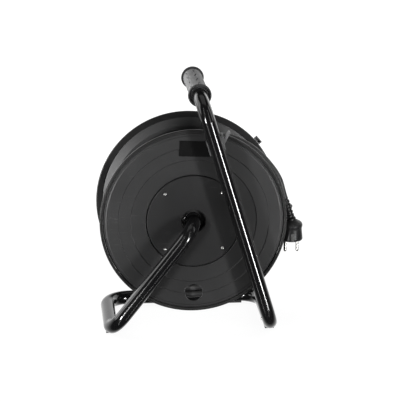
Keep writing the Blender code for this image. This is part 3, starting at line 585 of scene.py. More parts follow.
def tubeShape(points, radius, resolution):
    made = tubeCurve("tube", points, radius, resolution)
    shape = evaluatedShape(made)
    bpy.data.objects.remove(made, do_unlink=True)
    bmesh.ops.remove_doubles(shape, verts=shape.verts, dist=mergeDistance / 2)
    bmesh.ops.recalc_face_normals(shape, faces=shape.faces)
    return shape


def refined(node, bevel=0.0005, sharpAngle=28):
    # A blocky CAD solid again, with its flat faces whole and its edges rounded.
    shape = bmesh.new()
    shape.from_mesh(nodes[node].data)
    bmesh.ops.remove_doubles(shape, verts=shape.verts, dist=0.00001)
    bmesh.ops.dissolve_limit(shape, angle_limit=math.radians(1), verts=shape.verts,
                             edges=shape.edges)
    return moved(bevelled(shape, sharpEdges(shape, sharpAngle), bevel, clamp=True), -axisPoint)


# The stand.
stand = {
    "tubeRadius": 0.011, "legPlane": -0.030, "level": -0.165, "left": -0.130, "right": 0.119,
    "far": 0.136, "gripAcross": 0.0103, "gripAbove": 0.196, "axleEnd": 0.112,
    "hubBend": 0.034, "footBend": 0.032, "farBend": 0.038, "gripBend": 0.034,
    "bendPieces": 20, "tubeResolution": 18,
}


def bentPath(corners, radii, pieces):
    points = [Vector(corners[0])]
    for before, corner, after, radius in zip(corners, corners[1:], corners[2:], radii):
        inward = (Vector(before) - Vector(corner)).normalized()
        outward = (Vector(after) - Vector(corner)).normalized()
        half = inward.angle(outward) / 2
        reach = radius / math.tan(half)
        centre = Vector(corner) + (inward + outward).normalized() * radius / math.sin(half)
        start = Vector(corner) + inward * reach - centre
        spinAxis = start.cross(Vector(corner) + outward * reach - centre).normalized()
        sweep = math.pi - 2 * half
        for step in range(pieces + 1):
            points.append(centre + Matrix.Rotation(sweep * step / pieces, 3, spinAxis) @ start)
    points.append(Vector(corners[-1]))
    return points


grip = {
    "start": 0.008, "length": 0.135, "radius": 0.0148, "collarRadius": 0.018,
    "collarWidth": 0.005, "recess": 0.0023,
    "slotRows": 4, "slotColumns": 8, "slotLength": 0.018, "slotWidth": 0.0024,
    "slotDepth": 0.0020, "slotLean": 0.20, "around": 192, "along": 200,
}


def makeFrameTube():
    s = stand
    end = grip["start"] + grip["length"] - grip["collarWidth"] / 2 - gap
    corners = [(0, s["axleEnd"], 0), (0, s["legPlane"], 0), (s["left"], s["legPlane"], s["level"]),
               (s["left"], s["far"], s["level"]), (s["right"], s["far"], s["level"]),
               (s["right"], s["legPlane"], s["level"]),
               (s["gripAcross"], s["legPlane"], s["gripAbove"]), (s["gripAcross"], end, s["gripAbove"])]
    radii = [s["hubBend"], s["footBend"], s["farBend"], s["farBend"], s["footBend"], s["gripBend"]]
    shape = tubeShape(bentPath(corners, radii, s["bendPieces"]), s["tubeRadius"], s["tubeResolution"])
    showNode("frame_tube", shape, "paintedTube", "bentStandTube")


def makeGrip():
    g = grip
    centre = Vector((stand["gripAcross"], g["start"], stand["gripAbove"]))
    bore, wide, edge = stand["tubeRadius"] + gap, g["collarWidth"], 0.0009
    mouth = g["radius"] - 0.0010
    collar = [(bore, g["recess"]), (mouth, g["recess"]), (mouth + 0.0008, 0.0004),
              (g["collarRadius"] - edge, 0), (g["collarRadius"], edge), (g["collarRadius"], wide),
              (bore, wide)]
    showNode("grip_collar", moved(turned(collar, 0.0005), centre), "fittingPlastic")
    low, high = g["length"] - wide, g["length"]
    cap = [(0, high), (g["collarRadius"] - 0.0028, high), (g["collarRadius"] - 0.0006, high - 0.0012),
           (g["collarRadius"], high - 0.0030), (g["collarRadius"], low), (bore, low),
           (bore, high - wide / 2), (0, high - wide / 2)]
    showNode("grip_end_cap", moved(turned(cap, 0.0005), centre), "fittingPlastic")
    start, stop = wide + gap, g["length"] - wide - gap
    rings = [(g["radius"] - 0.0006, start), (g["radius"], start + 0.0008)]
    rings += [(g["radius"], start + (stop - start) * step / g["along"])
              for step in range(2, g["along"] - 1)]
    rings += [(g["radius"], stop - 0.0008), (g["radius"] - 0.0006, stop), (bore, stop), (bore, start)]
    shape = turnShape(rings, g["around"])
    pitch = (stop - start) / g["slotRows"]
    step = math.tau / g["slotColumns"]
    for vertex in shape.verts:
        radius = math.hypot(vertex.co.x, vertex.co.z)
        if radius < g["radius"] - 0.0002:
            continue
        angle = math.atan2(vertex.co.z, vertex.co.x) - math.pi / 2
        column = round(angle / step)
        lean = g["slotLean"] if column % 2 else -g["slotLean"]
        row = math.floor((vertex.co.y - start) / pitch)
        along = vertex.co.y - start - (row + 0.5) * pitch
        across = (angle - column * step) * g["radius"] - along * lean
        inside = max(0.0, abs(along) - (g["slotLength"] - g["slotWidth"]) / 2)
        distance = math.hypot(inside, across) / (g["slotWidth"] / 2)
        depth = g["slotDepth"] * max(0.0, 1 - distance ** 4)
        if depth:
            vertex.co.x *= 1 - depth / radius
            vertex.co.z *= 1 - depth / radius
    showNode("grip_sleeve", moved(shape, centre), "gripFoam")


rivet = {"rim": 0.0022, "dome": 0.0013}


def makeFeet():
    rim, dome = rivet["rim"], rivet["dome"]
    for spot in ("near_left", "near_right", "far_left", "far_right"):
        foot, place = "foot_" + spot, spot.title().replace("_", "")
        showNode(foot, refined(foot, 0.0007), "footRubber", "rubberFoot" + place, 40)
        low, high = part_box("foot_rivet_" + spot)
        middle = (low + high) / 2 - axisPoint
        outline = [(0, 0), (rim, 0), (rim, dome * 0.23), (rim * 0.86, dome * 0.62),
                   (rim * 0.55, dome * 0.92), (0, dome)]
        shape = turned(outline, 0.0002, 24)
        if high.x - low.x < high.y - low.y:
            outward = 1 if spot.endswith("left") else -1
            shape = moved(shape, middle - Vector((outward * dome / 2, 0, 0)),
                          turnAbout("Z", -90 * outward))
        else:
            shape = moved(shape, middle + Vector((0, dome / 2, 0)), turnAbout("Z", 180))
        showNode("foot_rivet_" + spot, shape, "brightZinc")


hook = {
    "outline": [(-0.0126, -0.0190), (0.0112, -0.0190), (0.0140, -0.0060), (0.0165, -0.0040),
                (0.0272, 0.0075), (0.0250, 0.0100), (0.0160, 0.0014), (0.0155, 0.0014),
                (0.0152, 0.0092), (0.0125, 0.0092), (0.0120, 0.0040), (-0.0126, 0.0040)],
    "above": 0.131, "thickness": 0.0105, "behindLeg": 0.004,
}


def makeLegHook():
    s = stand
    lean = math.atan2(s["right"] - s["gripAcross"], s["gripAbove"] - s["level"])
    across = s["right"] - math.tan(lean) * (hook["above"] - s["level"])
    shape = plateShape(hook["outline"], hook["thickness"], 0.0006)
    bed = moved(turnShape([(0, -0.04), (s["tubeRadius"] + gap, -0.04), (s["tubeRadius"] + gap, 0.04),
                           (0, 0.04)], 96, "Z"), (0, -hook["behindLeg"], 0))
    shape = carved(shape, [bed])
    shape = moved(shape, (across, s["legPlane"] + hook["behindLeg"], hook["above"]),
                  turnAbout("Y", -math.degrees(lean)))
    # The hook wears the lighter clip plastic, as painted light on its edges.
    showNode("leg_hook", shape, "clipPlastic")


makeFrameTube()
makeGrip()
makeFeet()
makeLegHook()
print("stand made")

# The drum.
drum = {
    "radius": 0.145, "width": 0.130, "plateFace": 0.0018, "inside": 0.005, "rimEdge": 0.0044,
    "thin": 0.0023, "thinRadius": 0.1215, "bandRadius": 0.1402, "stepRadius": 0.1352,
    "coreRadius": 0.0757, "coreWall": 0.002, "discRadius": 0.073, "discClearance": 0.0005,
    "discThickness": 0.0026, "ledgeThickness": 0.0028, "rearLedge": 0.056, "frontLedge": 0.0675,
    "stepRadii": (0.097, 0.1165), "stepHeight": 0.0006, "grooveRadius": 0.1396,
    "grooveWidth": 0.0012, "chamferRadius": 0.1346,
    "sightRadius": 0.014, "sightFromAxis": 0.1155, "sides": 240,
    "hubHole": 0.019, "hubDepth": 0.014, "bushLength": 0.020, "bushWall": 0.0036, "hubWall": 0.0025,
    "screwFromAxis": 0.0625, "panelScrewFromAxis": 0.0655, "screwRadius": 0.0019,
}
drum["discFace"] = drum["plateFace"] - drum["stepHeight"]
drum["discBack"] = drum["discFace"] + drum["discThickness"]
running = 0.0005


def flangeOutline(ledgeRadius):
    # The winding's side is flat, then thins outwards to a step, behind the thick rim.
    d = drum
    bore = d["discRadius"] + d["discClearance"]
    ledgeFace = d["discBack"] + gap
    outline = [(bore, d["plateFace"] + 0.0010), (bore + 0.0007, d["plateFace"])]
    face = d["plateFace"]
    for radius in d["stepRadii"]:
        outline += [(radius, face), (radius + d["stepHeight"], face - d["stepHeight"] * 1.6)]
        face -= d["stepHeight"] * 0.5
    groove, half, end = d["grooveRadius"], d["grooveWidth"] / 2, d["bandRadius"] - 0.0002
    outline += [(d["chamferRadius"], face), (d["chamferRadius"] + 0.0014, 0.0018),
                (groove - half - 0.0006, 0.0018), (groove - half, 0.0026), (end, 0.0026), (end, 0.0030),
                (d["stepRadius"], 0.0030), (d["stepRadius"] - 0.0003, d["thin"]),
                (d["thinRadius"], d["inside"]),
                (d["coreRadius"] - d["coreWall"] - gap, d["inside"]),
                (d["coreRadius"] - d["coreWall"] - gap, ledgeFace + d["ledgeThickness"]),
                (ledgeRadius, ledgeFace + d["ledgeThickness"]), (ledgeRadius, ledgeFace),
                (bore, ledgeFace)]
    return softCorners(outline, 0.00035)


def bandOutline():
    # The rim's polished band: a lip outside, and a wider face on the winding's side.
    d = drum
    outline = [(d["bandRadius"], 0.0004), (d["bandRadius"] + 0.0005, 0.0001), (d["radius"] - 0.0014, 0),
               (d["radius"], 0.0011), (d["radius"], d["rimEdge"] - 0.0007),
               (d["radius"] - 0.0009, d["rimEdge"]), (d["stepRadius"] + 0.0004, d["rimEdge"]),
               (d["stepRadius"], d["rimEdge"] - 0.0004), (d["stepRadius"], 0.0032),
               (d["bandRadius"], 0.0032)]
    return softCorners(outline, 0.0004)


def rodShape(radius, low, high, sides=48):
    return turnShape([(0, low), (radius, low), (radius, high), (0, high)], sides)


def holeTool(radius, spot, sides=24, reach=0.03):
    # A rod to cut a hole right through a plate that lies at the spot.
    return moved(rodShape(radius, -reach, reach, sides), spot)


sightSpot = around(-math.pi / 2, drum["sightFromAxis"])
coverScrewSpots = [around(math.pi / 4 + number * math.pi / 2, drum["screwFromAxis"])
                   for number in range(4)]


def makeRearFlange():
    d = drum
    tools = [holeTool(d["sightRadius"], sightSpot, 96)]
    tools += [holeTool(d["screwRadius"] + gap, spot) for spot in coverScrewSpots]
    shape = carved(turnShape(flangeOutline(d["rearLedge"]), d["sides"]), tools)
    showNode("rear_flange", shape, "drumPlastic", sharpAngle=28)
    addPiece("rearRimBand", turnShape(bandOutline(), d["sides"]), "rimGloss", "drum")
    # A rounded lip runs round the sight hole.
    face = d["plateFace"] - d["stepHeight"]
    hole = d["sightRadius"]
    lip = [(hole - 0.0006, face - 0.0001), (hole, face - 0.0003), (hole + 0.0008, face - 0.0003),
           (hole + 0.0012, face + 0.0001), (hole + 0.0012, face + 0.0008),
           (hole - 0.0006, face + 0.0030)]
    addPiece("sightHoleLip", moved(turned(lip, 0.0003), sightSpot), "drumPlastic", "drum")


knob = {"fromAxis": 0.108, "angle": math.radians(150), "radius": 0.014, "length": 0.034,
             "pinRadius": 0.004, "grooves": 12, "grooveHalf": 0.0008, "grooveDepth": 0.0006}


def makeFrontFlange():
    d = drum
    flange, band = [turnShape([(radius, d["width"] - depth) for radius, depth in outline], d["sides"])
                    for outline in (flangeOutline(d["frontLedge"]), bandOutline())]
    pinSpot = around(knob["angle"], knob["fromAxis"], d["width"])
    shape = carved(flange, [holeTool(knob["pinRadius"] + gap, pinSpot, 32)])
    # The front flange wears the lighter copy of the drum plastic, as painted light on its inner face.
    showNode("front_flange", shape, "frontPlastic", sharpAngle=28)
    addPiece("frontRimBand", band, "rimGloss", "drum")


screw = {"radius": drum["screwRadius"], "head": 0.0027, "height": 0.0019, "slotHalf": 0.00038,
         "slotDepth": 0.0010, "slotTurn": 20}


def screwShape(seat, outward, length):
    # A pan head with a cross recess, its shank away from the head.
    radius, head = screw["radius"], screw["head"]
    top = seat + outward * screw["height"]
    outline = [(0, top), (head * 0.50, top - outward * 0.00015), (head * 0.82, top - outward * 0.0006),
               (head, seat + outward * 0.0007), (head, seat), (radius, seat),
               (radius, seat - outward * length), (0, seat - outward * length)]
    shape = turned(outline, 0.0003, 40)
    low, high = sorted((top - outward * screw["slotDepth"], top + outward * 0.002))
    arms = []
    for turn in (screw["slotTurn"], screw["slotTurn"] + 90):
        arm = blockShape((-head * 0.62, low, -screw["slotHalf"]), (head * 0.62, high, screw["slotHalf"]),
                         0)
        arms.append(moved(arm, turn=turnAbout("Y", turn)))
    return carved(shape, arms)


def makeRearCover():
    d = drum
    face, back = d["discFace"], d["discBack"]
    seat = stand["tubeRadius"] + running + d["bushWall"] + gap
    shelf = face + d["hubDepth"]
    end = shelf + d["bushLength"]
    hub, wall = d["hubHole"], d["hubWall"]
    outline = [(hub, face), (d["discRadius"] - 0.0014, face), (d["discRadius"] - 0.0004, face + 0.0012),
               (d["discRadius"], back), (hub + wall, back), (hub + wall, shelf + wall),
               (seat + wall, shelf + wall + 0.003), (seat + wall, end), (seat, end), (seat, shelf),
               (hub, shelf)]
    tools = [holeTool(d["screwRadius"] + gap, spot) for spot in coverScrewSpots]
    # The moulded tick stands under the hub.
    tick = bmesh.new()
    bmesh.ops.create_cone(tick, cap_ends=True, segments=3, radius1=0.0011, radius2=0.0002, depth=0.0024)
    tools.append(moved(tick, (0, face, -0.0660), turnAbout("X", -90)))
    shape = carved(turned(outline, 0.0004, 200), tools)
    # The rear cover wears the darker copy of the drum plastic, as painted shade round the hub.
    showNode("rear_cover", shape, "coverPlastic", sharpAngle=28)
    for number, spot in enumerate(coverScrewSpots, 1):
        showNode(f"cover_screw_{number}", moved(screwShape(face - gap, -1, 0.0120), spot), "brightZinc")
    lining = [(hub - 0.0010, face + 0.0010), (hub - gap, face + 0.0010), (hub - gap, shelf - gap),
              (hub - 0.0006, shelf - gap)]
    addPiece("hubLining", turned(lining, 0.0002, 120), "rimGloss", "drum")
    # Painted shade: the nylon bush and the steel washer below take the black rim gloss, so the hub
    # recess looks dark.
    bore = stand["tubeRadius"] + running
    flangeRadius, flangeFace = bore + d["bushWall"] + 0.0028, shelf - 0.0012 - gap
    bush = [(bore, flangeFace), (flangeRadius, flangeFace), (flangeRadius, shelf - gap),
            (bore + d["bushWall"], shelf - gap), (bore + d["bushWall"], end), (bore, end)]
    showNode("rear_bush", turned(bush, 0.0003, 80), "rimGloss")
    washerBack = flangeFace - gap
    washer = [(bore, washerBack - 0.0015), (hub - 0.0014, washerBack - 0.0015),
              (hub - 0.0014, washerBack), (bore, washerBack)]
    showNode("hub_washer", turned(washer, 0.0002, 80), "rimGloss")


label = {"middle": (0.0028, 0.1150), "width": 0.050, "height": 0.0245, "lean": 2.5, "proud": 0.0002}


def makeBareLabel():
    # A bare black plate near the top of the rear flange.
    face = drum["plateFace"] - drum["stepHeight"] * 2
    across, above = label["middle"]
    shape = blockShape((-label["width"] / 2, -label["proud"], -label["height"] / 2),
                       (label["width"] / 2, drum["stepHeight"] * 1.5, label["height"] / 2), 0.00015)
    shape = moved(shape, (across, face, above), turnAbout("Y", label["lean"]))
    addPiece("bareLabel", shape, "labelFilm", "drum")


makeRearFlange()
makeFrontFlange()
makeRearCover()
makeBareLabel()
print("flanges, rear cover and label made")

# The cord: four full layers, the turns on top, the lead and the plug.
cord = {
    "diameter": 0.0100, "length": 25.0, "turnsPerLayer": 9.6, "layers": 4, "layerGap": 0.0006,
    "sideGap": 0.0012, "leadLength": 0.207, "exitAngle": math.radians(100),
    "entryAngle": math.radians(-90), "pointsPerTurn": 36,
    "firstPitch": 1.5,          # pitches that a layer's first turn moves over, on an upper layer
    "climbTurns": 0.5,          # part of a turn in which it climbs to the next layer
    "leadRoute": [(82, 0.1285, 1.0), (72, 0.1335, 0.92), (62, 0.1383, 0.76), (52, 0.1413, 0.54),
                  (42, 0.1433, 0.32), (32, 0.1452, 0.14), (23, 0.1468, 0.03)],
}
plug = {
    "across": 0.155, "depth": 0.025, "face": -0.041, "top": -0.0080, "radius": 0.0178,
    "pinRadius": 0.0024, "pinLength": 0.019, "pinPitch": 0.019, "lean": math.radians(16),
    "reliefLength": 0.033, "reliefRadius": 0.0070, "neckRadius": 0.0082, "neckHeight": 0.0028,
    "ribs": 5, "stripDepth": 0.0022, "stripHalf": 0.0024, "stripHeight": 0.0140,
    "grooves": 5, "grooveRadius": 0.0008, "grooveFrom": 0.0115, "groovePitch": 0.0024,
}
cordRadius = cord["diameter"] / 2
layerRise = cord["diameter"] + cord["layerGap"]
firstRadius = drum["coreRadius"] + gap + cordRadius
topRadius = firstRadius + layerRise * cord["layers"]
windingStart = drum["inside"] + cord["sideGap"] + cordRadius
windingEnd = drum["width"] - windingStart
turnPitch = (windingEnd - windingStart) / cord["turnsPerLayer"]
layerTurns = cord["turnsPerLayer"]
fullLength = sum(math.tau * layerTurns * (firstRadius + layerRise * layer)
                 for layer in range(cord["layers"]))
topTurns = (cord["length"] - cord["leadLength"] - fullLength) / (math.tau * topRadius)
exitTurns = layerTurns * cord["layers"] + topTurns
extraTurns = ((cord["entryAngle"] - cord["exitAngle"]) / math.tau - exitTurns) % 1
allTurns = exitTurns + extraTurns
neckFoot = Vector((plug["across"] - 0.0010, plug["depth"], plug["top"]))
reliefWay = Vector((-math.sin(plug["lean"]), 0, math.cos(plug["lean"])))
reliefFoot = neckFoot + reliefWay * (plug["neckHeight"] + gap)
reliefHead = reliefFoot + reliefWay * plug["reliefLength"]


def windingPlace(turnsDone):
    # Radius and depth of the cord after that many turns. The first, third and fifth layers
    # run to the front, the others back. The first also takes the part of a turn that is over.
    first = cord["firstPitch"]
    if turnsDone < layerTurns + extraTurns:
        layer, into = 0, turnsDone * layerTurns / (layerTurns + extraTurns)
    else:
        layer = min(cord["layers"], int((turnsDone - extraTurns) / layerTurns))
        into = turnsDone - extraTurns - layer * layerTurns
    if layer == 0:
        along = into
    elif into < 1:
        along = first * into
    elif layer == cord["layers"]:
        along = first + into - 1
    else:
        along = first + (into - 1) * (layerTurns - first) / (layerTurns - 1)
    climb = 0.0
    if layer < cord["layers"]:
        climb = max(0.0, 1 - (layerTurns - into) / cord["climbTurns"])
    lift = climb * climb * (3 - 2 * climb)
    radius = firstRadius + layerRise * (layer + lift)
    depth = windingStart + turnPitch * along if layer % 2 == 0 else windingEnd - turnPitch * along
    return radius, depth


def smoothPath(knots, spacing, fineSteps=20):
    # A smooth curve through the knots, with its points spaced evenly.
    fine = []
    ends = [knots[0] * 2 - knots[1]] + knots + [knots[-1] * 2 - knots[-2]]
    for first, start, end, last in zip(ends, ends[1:], ends[2:], ends[3:]):
        for step in range(fineSteps):
            t = step / fineSteps
            fine.append(0.5 * (2 * start + (end - first) * t
                               + (2 * first - 5 * start + 4 * end - last) * t ** 2
                               + (3 * start - first - 3 * end + last) * t ** 3))
    fine.append(knots[-1])
    length = sum((b - a).length for a, b in zip(fine, fine[1:]))
    count = max(2, round(length / spacing))
    points, walked, target = [fine[0]], 0.0, length / count
    for a, b in zip(fine, fine[1:]):
        stretch = (b - a).length
        while walked + stretch >= target and len(points) < count:
            points.append(a.lerp(b, (target - walked) / stretch))
            target += length / count
        walked += stretch
    return points + [fine[-1]]


def cordPath():
    points = []
    steps = math.floor(allTurns * cord["pointsPerTurn"])
    for step in range(steps, -1, -1):
        left = step / cord["pointsPerTurn"]    # turns until the winding's end
        radius, depth = windingPlace(allTurns - left)
        points.append(around(cord["exitAngle"] + left * math.tau, radius, depth))
    way = Vector((math.sin(cord["exitAngle"]), 0, -math.cos(cord["exitAngle"])))
    start = points[-1]
    leaving = start.y - plug["depth"]
    knots = [around(math.radians(angle), radius, plug["depth"] + leaving * share)
             for angle, radius, share in cord["leadRoute"]]
    last = reliefHead + reliefWay * gap
    first = start + way * cord["diameter"] * 2
    lead = smoothPath([first] + knots + [last + reliefWay * cord["diameter"]], cord["diameter"] * 0.5)
    return points + [start + way * cord["diameter"]] + lead + [last]


def makeCord():
    path = [point + axisPoint for point in cordPath()]
    piece = tubeCurve("woundCord", path, cordRadius, 5)
    piece.data.splines[0].use_smooth = True
    piece.data.materials.append(finishes["cableJacket"])
    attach(piece, "drum")
    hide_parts("cord_inner_layers", "cord_outer_layer", "cord_lead")
    return piece, path


def makePlug():
    p = plug
    centre = Vector((p["across"], p["depth"], 0))
    face, top, radius = p["face"], p["top"], p["radius"]
    waist = radius - 0.0012
    outline = [(0, face), (radius - 0.0030, face), (radius - 0.0008, face + 0.0010),
               (radius, face + 0.0030), (waist, face + 0.0150), (waist - 0.0003, face + 0.0200),
               (radius - 0.0004, face + 0.0230), (radius - 0.0004, top - 0.0072),
               (radius - 0.0022, top - 0.0038), (radius - 0.0070, top - 0.0012),
               (p["reliefRadius"] + 0.0015, top), (0, top)]
    body = turned(outline, 0.0016, 96, "Z", steps=4)
    neck = turnShape([(0, -0.005), (p["neckRadius"], -0.005), (p["neckRadius"], 0.0020),
                      (p["neckRadius"] - 0.0008, p["neckHeight"]), (0, p["neckHeight"])], 64, "Z")
    neck = moved(neck, neckFoot - centre, turnAbout("Y", -math.degrees(p["lean"])))
    body = carved(body, [neck], "UNION")
    inner, half, rise = radius - p["stripDepth"], p["stripHalf"], p["stripHeight"]
    tools = []
    for side in (-1, 1):
        near, far = sorted((side * (radius + 0.002), side * inner))
        tools.append(blockShape((-half - gap, near, face - 0.002), (half + gap, far, face + rise + gap),
                                0))
        # Finger grooves on the plug's left and right.
        for number in range(p["grooves"]):
            height = face + p["grooveFrom"] + number * p["groovePitch"]
            groove = rodShape(p["grooveRadius"], -0.011, 0.011, 16)
            tools.append(moved(groove, (side * (waist + 0.0004), 0, height)))
    body = carved(body, tools)
    carried = [showNode("plug_body", moved(body, centre), "plugRubber")]
    for side, name in ((-1, "rear"), (1, "front")):
        near, far = sorted((side * (radius - 0.0009), side * (inner + gap)))
        strip = blockShape((-half, near, face + 0.0006), (half, far, face + rise), 0.0003)
        # The earth contacts take the dark steel, as painted shade in their recesses.
        carried.append(showNode("earth_contact_" + name, moved(strip, centre), "greasedSteel"))
    for side, name in ((-1, "left"), (1, "right")):
        tip, high = face - p["pinLength"], face - gap
        pin = [(0, tip), (p["pinRadius"] * 0.45, tip + 0.0002), (p["pinRadius"] * 0.85, tip + 0.0012),
               (p["pinRadius"], tip + 0.0026), (p["pinRadius"], high), (0, high)]
        shape = turned(pin, 0.0006, 48, "Z")
        shape = moved(shape, centre + Vector((side * p["pinPitch"] / 2, 0, 0)))
        carried.append(showNode("plug_pin_" + name, shape, "nickelPin"))
    rib, groove = p["reliefRadius"], p["reliefRadius"] - 0.0014
    outline = [(0, 0), (groove, 0)]
    pitch = (p["reliefLength"] - 0.004) / p["ribs"]
    for number in range(p["ribs"]):
        low, shrink = 0.002 + number * pitch, 0.0012 * number / p["ribs"]
        outline += [(rib - shrink, low), (rib - shrink, low + pitch * 0.55),
                    (groove - shrink, low + pitch * 0.62), (groove - shrink, low + pitch * 0.97)]
    outline += [(cordRadius + 0.0004, p["reliefLength"]), (0, p["reliefLength"])]
    shape = turned(outline, 0.0004, 64, "Z")
    shape = moved(shape, reliefFoot, turnAbout("Y", -math.degrees(p["lean"])))
    carried.append(showNode("bend_relief", shape, "plugRubber"))
    return carried


cordPiece, cordPoints = makeCord()
plugPieces = makePlug()
cordLength = sum((b - a).length for a, b in zip(cordPoints, cordPoints[1:]))
print("cord made,", round(cordLength, 3), "m on", round(allTurns, 2), "turns")

# The clips on the front rim.
# They wear the lighter clip plastic, as painted light on their edges.
for node in ("rim_clip", "plug_clip"):
    showNode(node, refined(node, 0.0005, 40), "clipPlastic")

# The socket side.
socket = {
    "count": 3, "fromAxis": 0.0435, "radius": 0.0225, "well": 0.0197, "wellDepth": 0.017,
    "floor": 0.004, "stands": 0.002, "pinHole": 0.0030, "lidRadius": 0.0232,
    "lidThickness": 0.003, "hingeOut": 0.0258, "barrelRadius": 0.0024, "pinRadius": 0.0012,
    "barrelLength": 0.013, "earWidth": 0.003, "springLength": 0.004, "wire": 0.00030,
    "springTurns": 5, "springPoints": 24, "boltRoom": 0.0165, "bossBack": 0.0285,
    "buttonRadius": 0.005, "buttonFromAxis": 0.052, "buttonTravel": 0.002, "buttonStands": 0.0038,
}
panelFace = drum["width"]
panelBack = panelFace - drum["discBack"]
socketFront = panelFace + socket["stands"]
hingeDepth = socketFront + running + socket["lidThickness"] / 2
hingeHeight = socket["fromAxis"] + socket["hingeOut"]
socketAngles = [90 + number * 360 / socket["count"] for number in range(socket["count"])]
screwAngles = [angle + 180 / socket["count"] for angle in socketAngles]
buttonSpot = around(math.radians(screwAngles[-1]), socket["buttonFromAxis"])


def toSocket(shape, number):
    # A shape drawn at the top of the panel, turned to its own socket.
    return moved(shape, turn=turnAbout("Y", 90 - socketAngles[number]))


def acrossRod(radius, left, right, sides=40):
    # A rod along X through the hinge line at the top of the panel.
    return moved(rodShape(radius, left, right, sides), (0, hingeDepth, hingeHeight),
                 turnAbout("Z", -90))


def makeSocketPanel():
    k, d = socket, drum
    seat = stand["tubeRadius"] + running + d["bushWall"] + gap
    cavity = panelFace - k["bossBack"]
    start = cavity - d["bushLength"]
    wall = d["hubWall"]
    outline = [(0, panelFace), (d["discRadius"] - 0.0009, panelFace),
               (d["discRadius"], panelFace - 0.0009), (d["discRadius"], panelBack),
               (k["boltRoom"] + wall, panelBack), (k["boltRoom"] + wall, cavity - wall),
               (seat + wall, cavity - wall - 0.001), (seat + wall, start), (seat, start),
               (seat, cavity), (k["boltRoom"], cavity),
               (k["boltRoom"], panelFace - d["discThickness"]), (0, panelFace - d["discThickness"])]
    shape = turned(outline, 0.0004, 200)
    ears, tools = [], []
    facePoint, reach = Vector((0, panelFace, 0)), 0.02
    half, ear = k["barrelLength"] / 2, k["earWidth"]
    for number in range(k["count"]):
        spans = ((-half - gap - ear, -half - gap),
                 (half + gap * 2 + k["springLength"], half + gap * 2 + k["springLength"] + ear))
        for left, right in spans:
            block = blockShape((left, panelFace - 0.001, hingeHeight - k["barrelRadius"]),
                               (right, hingeDepth + k["barrelRadius"], hingeHeight + k["barrelRadius"]),
                               0.0007, 3)
            ears.append(toSocket(block, number))
        socketSpot = around(math.radians(socketAngles[number]), k["fromAxis"], panelFace)
        tools.append(holeTool(k["radius"] + gap, socketSpot, 96, reach))
        tools.append(toSocket(acrossRod(k["pinRadius"] + gap, -0.03, 0.03), number))
        screwSpot = around(math.radians(screwAngles[number]), d["panelScrewFromAxis"])
        tools.append(holeTool(d["screwRadius"] + gap, screwSpot + facePoint, 24, reach))
        showNode(f"panel_screw_{number + 1}", moved(screwShape(panelFace + gap, 1, 0.0084), screwSpot),
                 "brightZinc")
    tools.append(holeTool(k["buttonRadius"] + running, buttonSpot + facePoint, 64, reach))
    shape = carved(carved(shape, ears, "UNION"), tools)
    showNode("socket_panel", shape, "fittingPlastic", sharpAngle=28)


def makeSocket(number):
    k = socket
    floor = socketFront - k["wellDepth"]
    centre = around(math.radians(socketAngles[number]), k["fromAxis"])
    outline = [(0, floor - k["floor"]), (k["radius"], floor - k["floor"]), (k["radius"], socketFront),
               (k["well"], socketFront), (k["well"], floor), (0, floor)]
    shape = turned(outline, 0.0005)
    tools = [holeTool(k["pinHole"], (side * plug["pinPitch"] / 2, floor, 0), 32, 0.02)
             for side in (-1, 1)]
    shape = toSocket(carved(shape, tools), number)
    showNode(f"socket_insert_{number + 1}", moved(shape, centre), "fittingPlastic")
    for side, word in ((-1, "Low"), (1, "High")):
        near, far = sorted((side * (k["well"] - 0.0018), side * (k["well"] - 0.0008)))
        strip = blockShape((-plug["stripHalf"], floor + gap, near),
                           (plug["stripHalf"], socketFront - 0.0030, far), 0.0003)
        addPiece(f"earthStrip{word}{number + 1}", moved(toSocket(strip, number), centre), "nickelPin",
                 "drum")


def makeLid(number):
    k = socket
    half, radius = k["lidThickness"] / 2, k["lidRadius"]
    outline = [(0, -half), (radius, -half), (radius, half * 0.3), (radius - 0.0014, half),
               (radius - 0.0036, half), (radius - 0.0046, half - 0.0009), (0, half - 0.0009)]
    disc = moved(turned(outline, 0.0004, 128), (0, hingeDepth, k["fromAxis"]))
    armLow = k["fromAxis"] + radius - 0.0040
    tabLow = k["fromAxis"] - radius
    joined = [blockShape((-k["barrelLength"] / 2, hingeDepth - half, armLow),
                         (k["barrelLength"] / 2, hingeDepth + half, hingeHeight), 0.0005),
              blockShape((-0.0060, hingeDepth - half + 0.0004, tabLow - 0.0026),
                         (0.0060, hingeDepth + half - 0.0006, tabLow + 0.0030), 0.0007, 3),
              acrossRod(k["barrelRadius"], -k["barrelLength"] / 2, k["barrelLength"] / 2)]
    shape = carved(carved(disc, joined, "UNION"), [acrossRod(k["pinRadius"] + gap, -0.02, 0.02)])
    showNode(f"socket_lid_{number + 1}", toSocket(shape, number), "fittingPlastic")
    left = -k["barrelLength"] / 2 - gap - k["earWidth"]
    right = k["barrelLength"] / 2 + gap * 2 + k["springLength"] + k["earWidth"]
    showNode(f"lid_pin_{number + 1}", toSocket(acrossRod(k["pinRadius"], left, right, 24), number),
             "brightZinc")
    start = k["barrelLength"] / 2 + gap + k["wire"]
    length = k["springLength"] - k["wire"] * 2
    coil = k["pinRadius"] + gap + k["wire"]
    points = []
    for step in range(k["springTurns"] * k["springPoints"] + 1):
        turn = step / k["springPoints"]
        points.append((start + length * turn / k["springTurns"],
                       hingeDepth + coil * math.cos(turn * math.tau),
                       hingeHeight + coil * math.sin(turn * math.tau)))
    showNode(f"lid_spring_{number + 1}", toSocket(tubeShape(points, k["wire"], 3), number),
             "brightZinc")


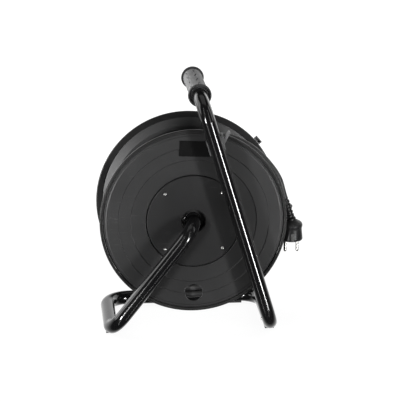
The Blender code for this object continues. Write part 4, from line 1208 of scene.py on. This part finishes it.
def makeResetButton():
    k = socket
    start, top, radius = panelBack + k["buttonTravel"], panelFace + k["buttonStands"], k["buttonRadius"]
    outline = [(0, start), (radius, start), (radius, top - 0.0012), (radius - 0.0008, top - 0.0003),
               (radius * 0.5, top), (0, top)]
    shape = turned(outline, 0.0004, 64)
    showNode("reset_button", moved(shape, buttonSpot), "greyPlastic")


def makeKnob():
    k, d = knob, drum
    spot = around(k["angle"], k["fromAxis"])
    pin, radius = k["pinRadius"], k["radius"]
    base = d["width"] - d["discFace"] + gap
    tail = d["width"] - d["inside"] + gap
    top = d["width"] + k["length"]
    collar, headLow, headTop, head = base + 0.0023, top - 0.006, top - 0.003, pin + 0.002
    outline = [(0, tail), (pin, tail), (pin, base), (pin + 0.003, base), (pin + 0.003, collar),
               (pin, collar), (pin, headLow), (head, headLow), (head, headTop - 0.0008),
               (head - 0.0012, headTop), (0, headTop)]
    shape = turned(outline, 0.0003, 48)
    showNode("knob_pin", moved(shape, spot), "brightZinc")
    low, well, bore = collar + running, head + running, pin + running
    handle = [(bore, low), (radius * 0.62, low), (radius * 0.80, low + 0.004),
              (radius * 0.86, low + 0.014), (radius, top - 0.006), (radius * 0.94, top - 0.002),
              (radius * 0.80, top), (well, top), (well, headLow - running), (bore, headLow - running)]
    grooves = []
    for number in range(k["grooves"]):
        groove = blockShape((-k["grooveHalf"], low + 0.006, radius * 0.86 - k["grooveDepth"]),
                            (k["grooveHalf"], top + 0.01, radius + 0.004), 0)
        grooves.append(moved(groove, turn=turnAbout("Y", number * 360 / k["grooves"])))
    shape = carved(turned(handle, 0.0008, 120), grooves)
    showNode("crank_knob", moved(shape, spot), "fittingPlastic")


makeSocketPanel()
for number in range(socket["count"]):
    makeSocket(number)
    makeLid(number)
makeResetButton()
makeKnob()
print("socket side made")

# The wall that closes the rim clip's slot.
clipBack = {"angle": 50, "halfWidth": 0.00425, "low": 0.0012, "high": 0.0044, "thickness": 0.0008,
            "behindRim": 0.0012}


def makeClipBack():
    c = clipBack
    base, back = drum["radius"] + gap, drum["width"] - c["behindRim"]
    wall = blockShape((-c["halfWidth"], back - c["thickness"], base + c["low"]),
                      (c["halfWidth"], back, base + c["high"]), 0)
    addPiece("rimClipBack", moved(wall, turn=turnAbout("Y", c["angle"])), "fittingPlastic", "drum")


makeClipBack()
